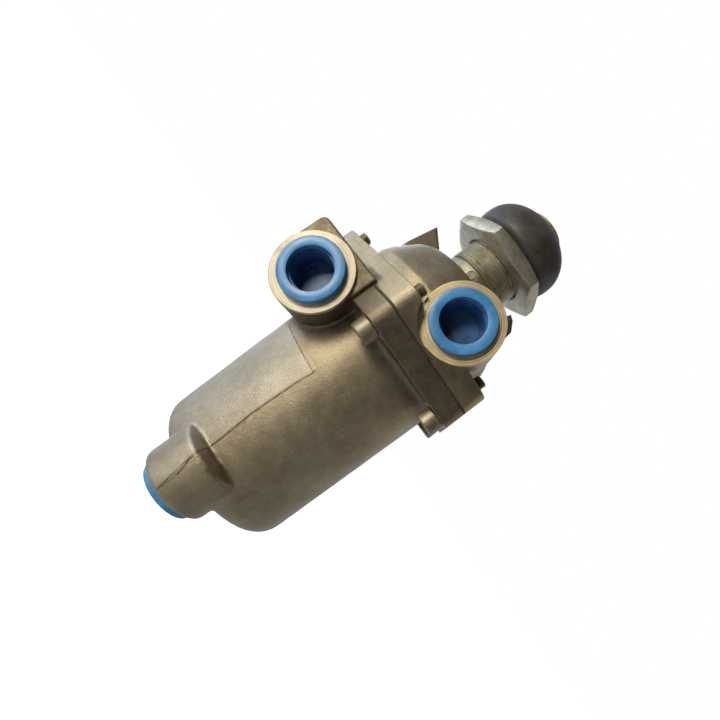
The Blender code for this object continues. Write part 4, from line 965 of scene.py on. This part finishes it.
# Springs. Three compression springs wound from round steel wire with closed ends: one between the spring seat
# and the piston, one under the piston and one under the inlet valve.
COIL_GAP = 0.0003
COIL_STEPS = 40
WIRE_SIDES = 12
GRADUATING_WIRE = 0.0018
RETURN_WIRE = 0.0011
VALVE_WIRE = 0.0008
spring_steel = plated_steel("spring_steel", (0.42, 0.42, 0.43, 1.0), (0.22, 0.22, 0.23, 1.0), (0.25, 0.40))


def wound(name, stand_in, wire, turns, body):
    """A spring in the place of its node, standing on a seat; wire is the wire's radius."""
    low, high = (Vector(corner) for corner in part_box(stand_in))
    bottom = low.z + wire - JOINT_HEIGHT
    top = high.z - wire - JOINT_HEIGHT
    radius = high.x - wire
    rise = 2 * wire + COIL_GAP
    count = round(turns * COIL_STEPS)
    loops = []
    for i in range(count + 1):
        turn = turns * i / count
        if turn < 1.0:
            height = bottom + rise * turn
        elif turn > turns - 1.0:
            height = top - rise * (turns - turn)
        else:
            height = bottom + rise + (top - bottom - 2 * rise) * (turn - 1.0) / (turns - 2.0)
        outward = Vector((math.cos(2 * math.pi * turn), math.sin(2 * math.pi * turn), 0.0))
        loops.append([outward * (radius + across) + Vector((0.0, 0.0, height + along))
                      for across, along in circle(wire, (0.0, 0.0), WIRE_SIDES)])
    spring = link(name, stacked(loops), [spring_steel])
    finish_piece(spring, body, "steel", stand_in)
    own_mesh(spring)


wound("graduating_coil", "graduating_spring", GRADUATING_WIRE, 4.5, "piston_group")
wound("return_coil", "return_spring", RETURN_WIRE, 6.0, "valve_body")
wound("valve_coil", "valve_spring", VALVE_WIRE, 6.0, "valve_body")


# Inner works. The rod, spring seat, rings, brass pieces, seals, piston and gasket keep the frame's own shapes
# and get their finishes here.
turned_brass = plated_steel("turned_brass", (0.62, 0.45, 0.18, 1.0), (0.42, 0.29, 0.11, 1.0),
                            (0.22, 0.38), 1.0)
seal_rubber, tree, shader = new_material("seal_rubber", 0.0)
haze = clouds(tree, 500, 3.0)
colour = mixed(tree, haze, (0.010, 0.010, 0.010, 1.0), (0.030, 0.030, 0.030, 1.0))
finish_material(tree, shader, colour, spread(tree, haze, 0.3, 0.7, 0.45, 0.6), haze, 0.00003)
finishes = {
    spring_steel: ("plunger_circlip", "push_rod", "spring_seat",
                   "seat_retaining_ring", "guide_retaining_ring"),
    turned_brass: ("inlet_seat_insert", "inlet_valve", "valve_guide"),
    seal_rubber: ("piston_seal", "seat_o_ring", "valve_facing"),
    bored_alloy: ("piston",),
    gasket_fibre: ("flange_gasket",),
}
for material, names in finishes.items():
    for name in names:
        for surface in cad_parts[name].material_slots:
            surface.material = material


# Floor. A plain pale floor below the hanging valve. To the camera, and mirrored from behind the valve, it
# also glows, so it looks nearly white and keeps a soft shadow.
FLOOR_HEIGHT = -0.300
bm = bmesh.new()
bmesh.ops.create_grid(bm, x_segments=8, y_segments=8, size=6.0)
bmesh.ops.translate(bm, vec=(0.0, 0.0, FLOOR_HEIGHT), verts=bm.verts)
floor_paint, tree, shader = new_material("floor_paint", 0.0)
grainy = clouds(tree, 3, 2.0)
colour = mixed(tree, grainy, (0.86, 0.86, 0.85, 1.0), (0.90, 0.90, 0.89, 1.0))
finish_material(tree, shader, colour, spread(tree, grainy, 0.0, 1.0, 0.55, 0.65))
rays = node(tree, "LightPath").outputs
place = node(tree, "SeparateXYZ", {0: node(tree, "TexCoord").outputs["Object"]}).outputs["Y"]
reflected = times(tree, rays["Is Glossy Ray"], spread(tree, place, 0.1, 1.5, 0.0, 0.7))
seen = maths(tree, "MAXIMUM", rays["Is Camera Ray"], rays["Is Transmission Ray"])
seen = times(tree, maths(tree, "MAXIMUM", seen, reflected), 0.80)
tree.links.new(mixed(tree, seen, (0.0, 0.0, 0.0, 1.0), (1.0, 1.0, 1.0, 1.0)), shader.inputs["Emission Color"])
shader.inputs["Emission Strength"].default_value = 1.0
floor = link("floor", bm, [floor_paint])


# Light. A warm key lamp at the left front, cool lamps at the left side and behind, and a faint warm fill at
# the right. The surround is dark at the right front and pale at the left back; the camera sees it white.
VALVE_MIDDLE = (0.0, -0.01, -0.055)
SURROUND_DARK = (0.030, 0.020, 0.012, 1.0)
SURROUND_PALE = (0.42, 0.48, 0.60, 1.0)
TO_PALE_SIDE = (-0.77, 0.62, 0.15)


def soft_lamp(name, direction, distance, size, power, tint):
    """Area lamp looking at the valve's middle."""
    lamp = bpy.data.lights.new(name, "AREA")
    lamp.shape = "DISK"
    lamp.size = size
    lamp.energy = power
    lamp.color = tint
    obj = bpy.data.objects.new(name, lamp)
    middle = Vector(VALVE_MIDDLE)
    towards = Vector(direction).normalized()
    obj.location = middle + towards * distance
    obj.rotation_euler = towards.to_track_quat("Z", "Y").to_euler()
    bpy.context.scene.collection.objects.link(obj)


soft_lamp("key", (-0.56, -0.83, 0.10), 0.9, 0.30, 5.2, (1.0, 0.97, 0.90))
soft_lamp("side", (-0.98, 0.02, 0.10), 0.9, 0.50, 2.6, (0.66, 0.80, 1.0))
soft_lamp("fill", (0.95, 0.30, 0.30), 1.0, 0.50, 0.7, (1.0, 0.93, 0.80))
soft_lamp("back", (-0.45, 0.85, 0.30), 1.0, 0.60, 3.8, (0.58, 0.76, 1.0))
world = bpy.data.worlds.new("pale_surround")
world.use_nodes = True
tree = world.node_tree
background = tree.nodes["Background"]
direction = node(tree, "TexCoord").outputs["Generated"]
across = node(tree, "VectorMath", {0: direction, 1: TO_PALE_SIDE}, operation="DOT_PRODUCT").outputs["Value"]
tint = mixed(tree, spread(tree, across, -0.3, 0.8), SURROUND_DARK, SURROUND_PALE)
behind = node(tree, "VectorMath", {0: direction, 1: (0.0, 1.0, 0.0)}, operation="DOT_PRODUCT")
behind = behind.outputs["Value"]
rays = node(tree, "LightPath").outputs
seen = maths(tree, "MAXIMUM", rays["Is Camera Ray"], rays["Is Transmission Ray"])
reflected = times(tree, rays["Is Glossy Ray"], spread(tree, behind, 0.2, 0.9, 0.0, 0.6))
seen = maths(tree, "MAXIMUM", seen, reflected)
tree.links.new(mixed(tree, seen, tint, (1.0, 1.0, 1.0, 1.0)), background.inputs["Color"])
background.inputs["Strength"].default_value = 1.0
bpy.context.scene.world = world


# Camera. The photograph's viewpoint, low in front of the ports and rolled so that the valve lies aslant.
FOCAL_LENGTH = 22.85
SENSOR_WIDTH = 36.0
SHIFT = (-0.06116, -0.0051)
CAMERA_PLACE = (0.0466297, -0.2130987, -0.0740854)
camera_data = bpy.data.cameras.new("camera")
camera_data.lens = FOCAL_LENGTH
camera_data.sensor_width = SENSOR_WIDTH
camera_data.shift_x = SHIFT[0]
camera_data.shift_y = SHIFT[1]
camera_data.clip_start = 0.01
camera_data.clip_end = 20.0
camera = bpy.data.objects.new("camera", camera_data)
right = Vector((0.6008186, 0.0283578, 0.7988823))
up = Vector((-0.7798176, -0.1989739, 0.5935435))
back = Vector((0.1757883, -0.9795944, -0.0974333))
turn = Matrix((right, up, back)).transposed().to_4x4()
camera.matrix_world = Matrix.Translation(CAMERA_PLACE) @ turn
bpy.context.scene.collection.objects.link(camera)
bpy.context.scene.camera = camera
bpy.context.scene.view_settings.view_transform = "Standard"
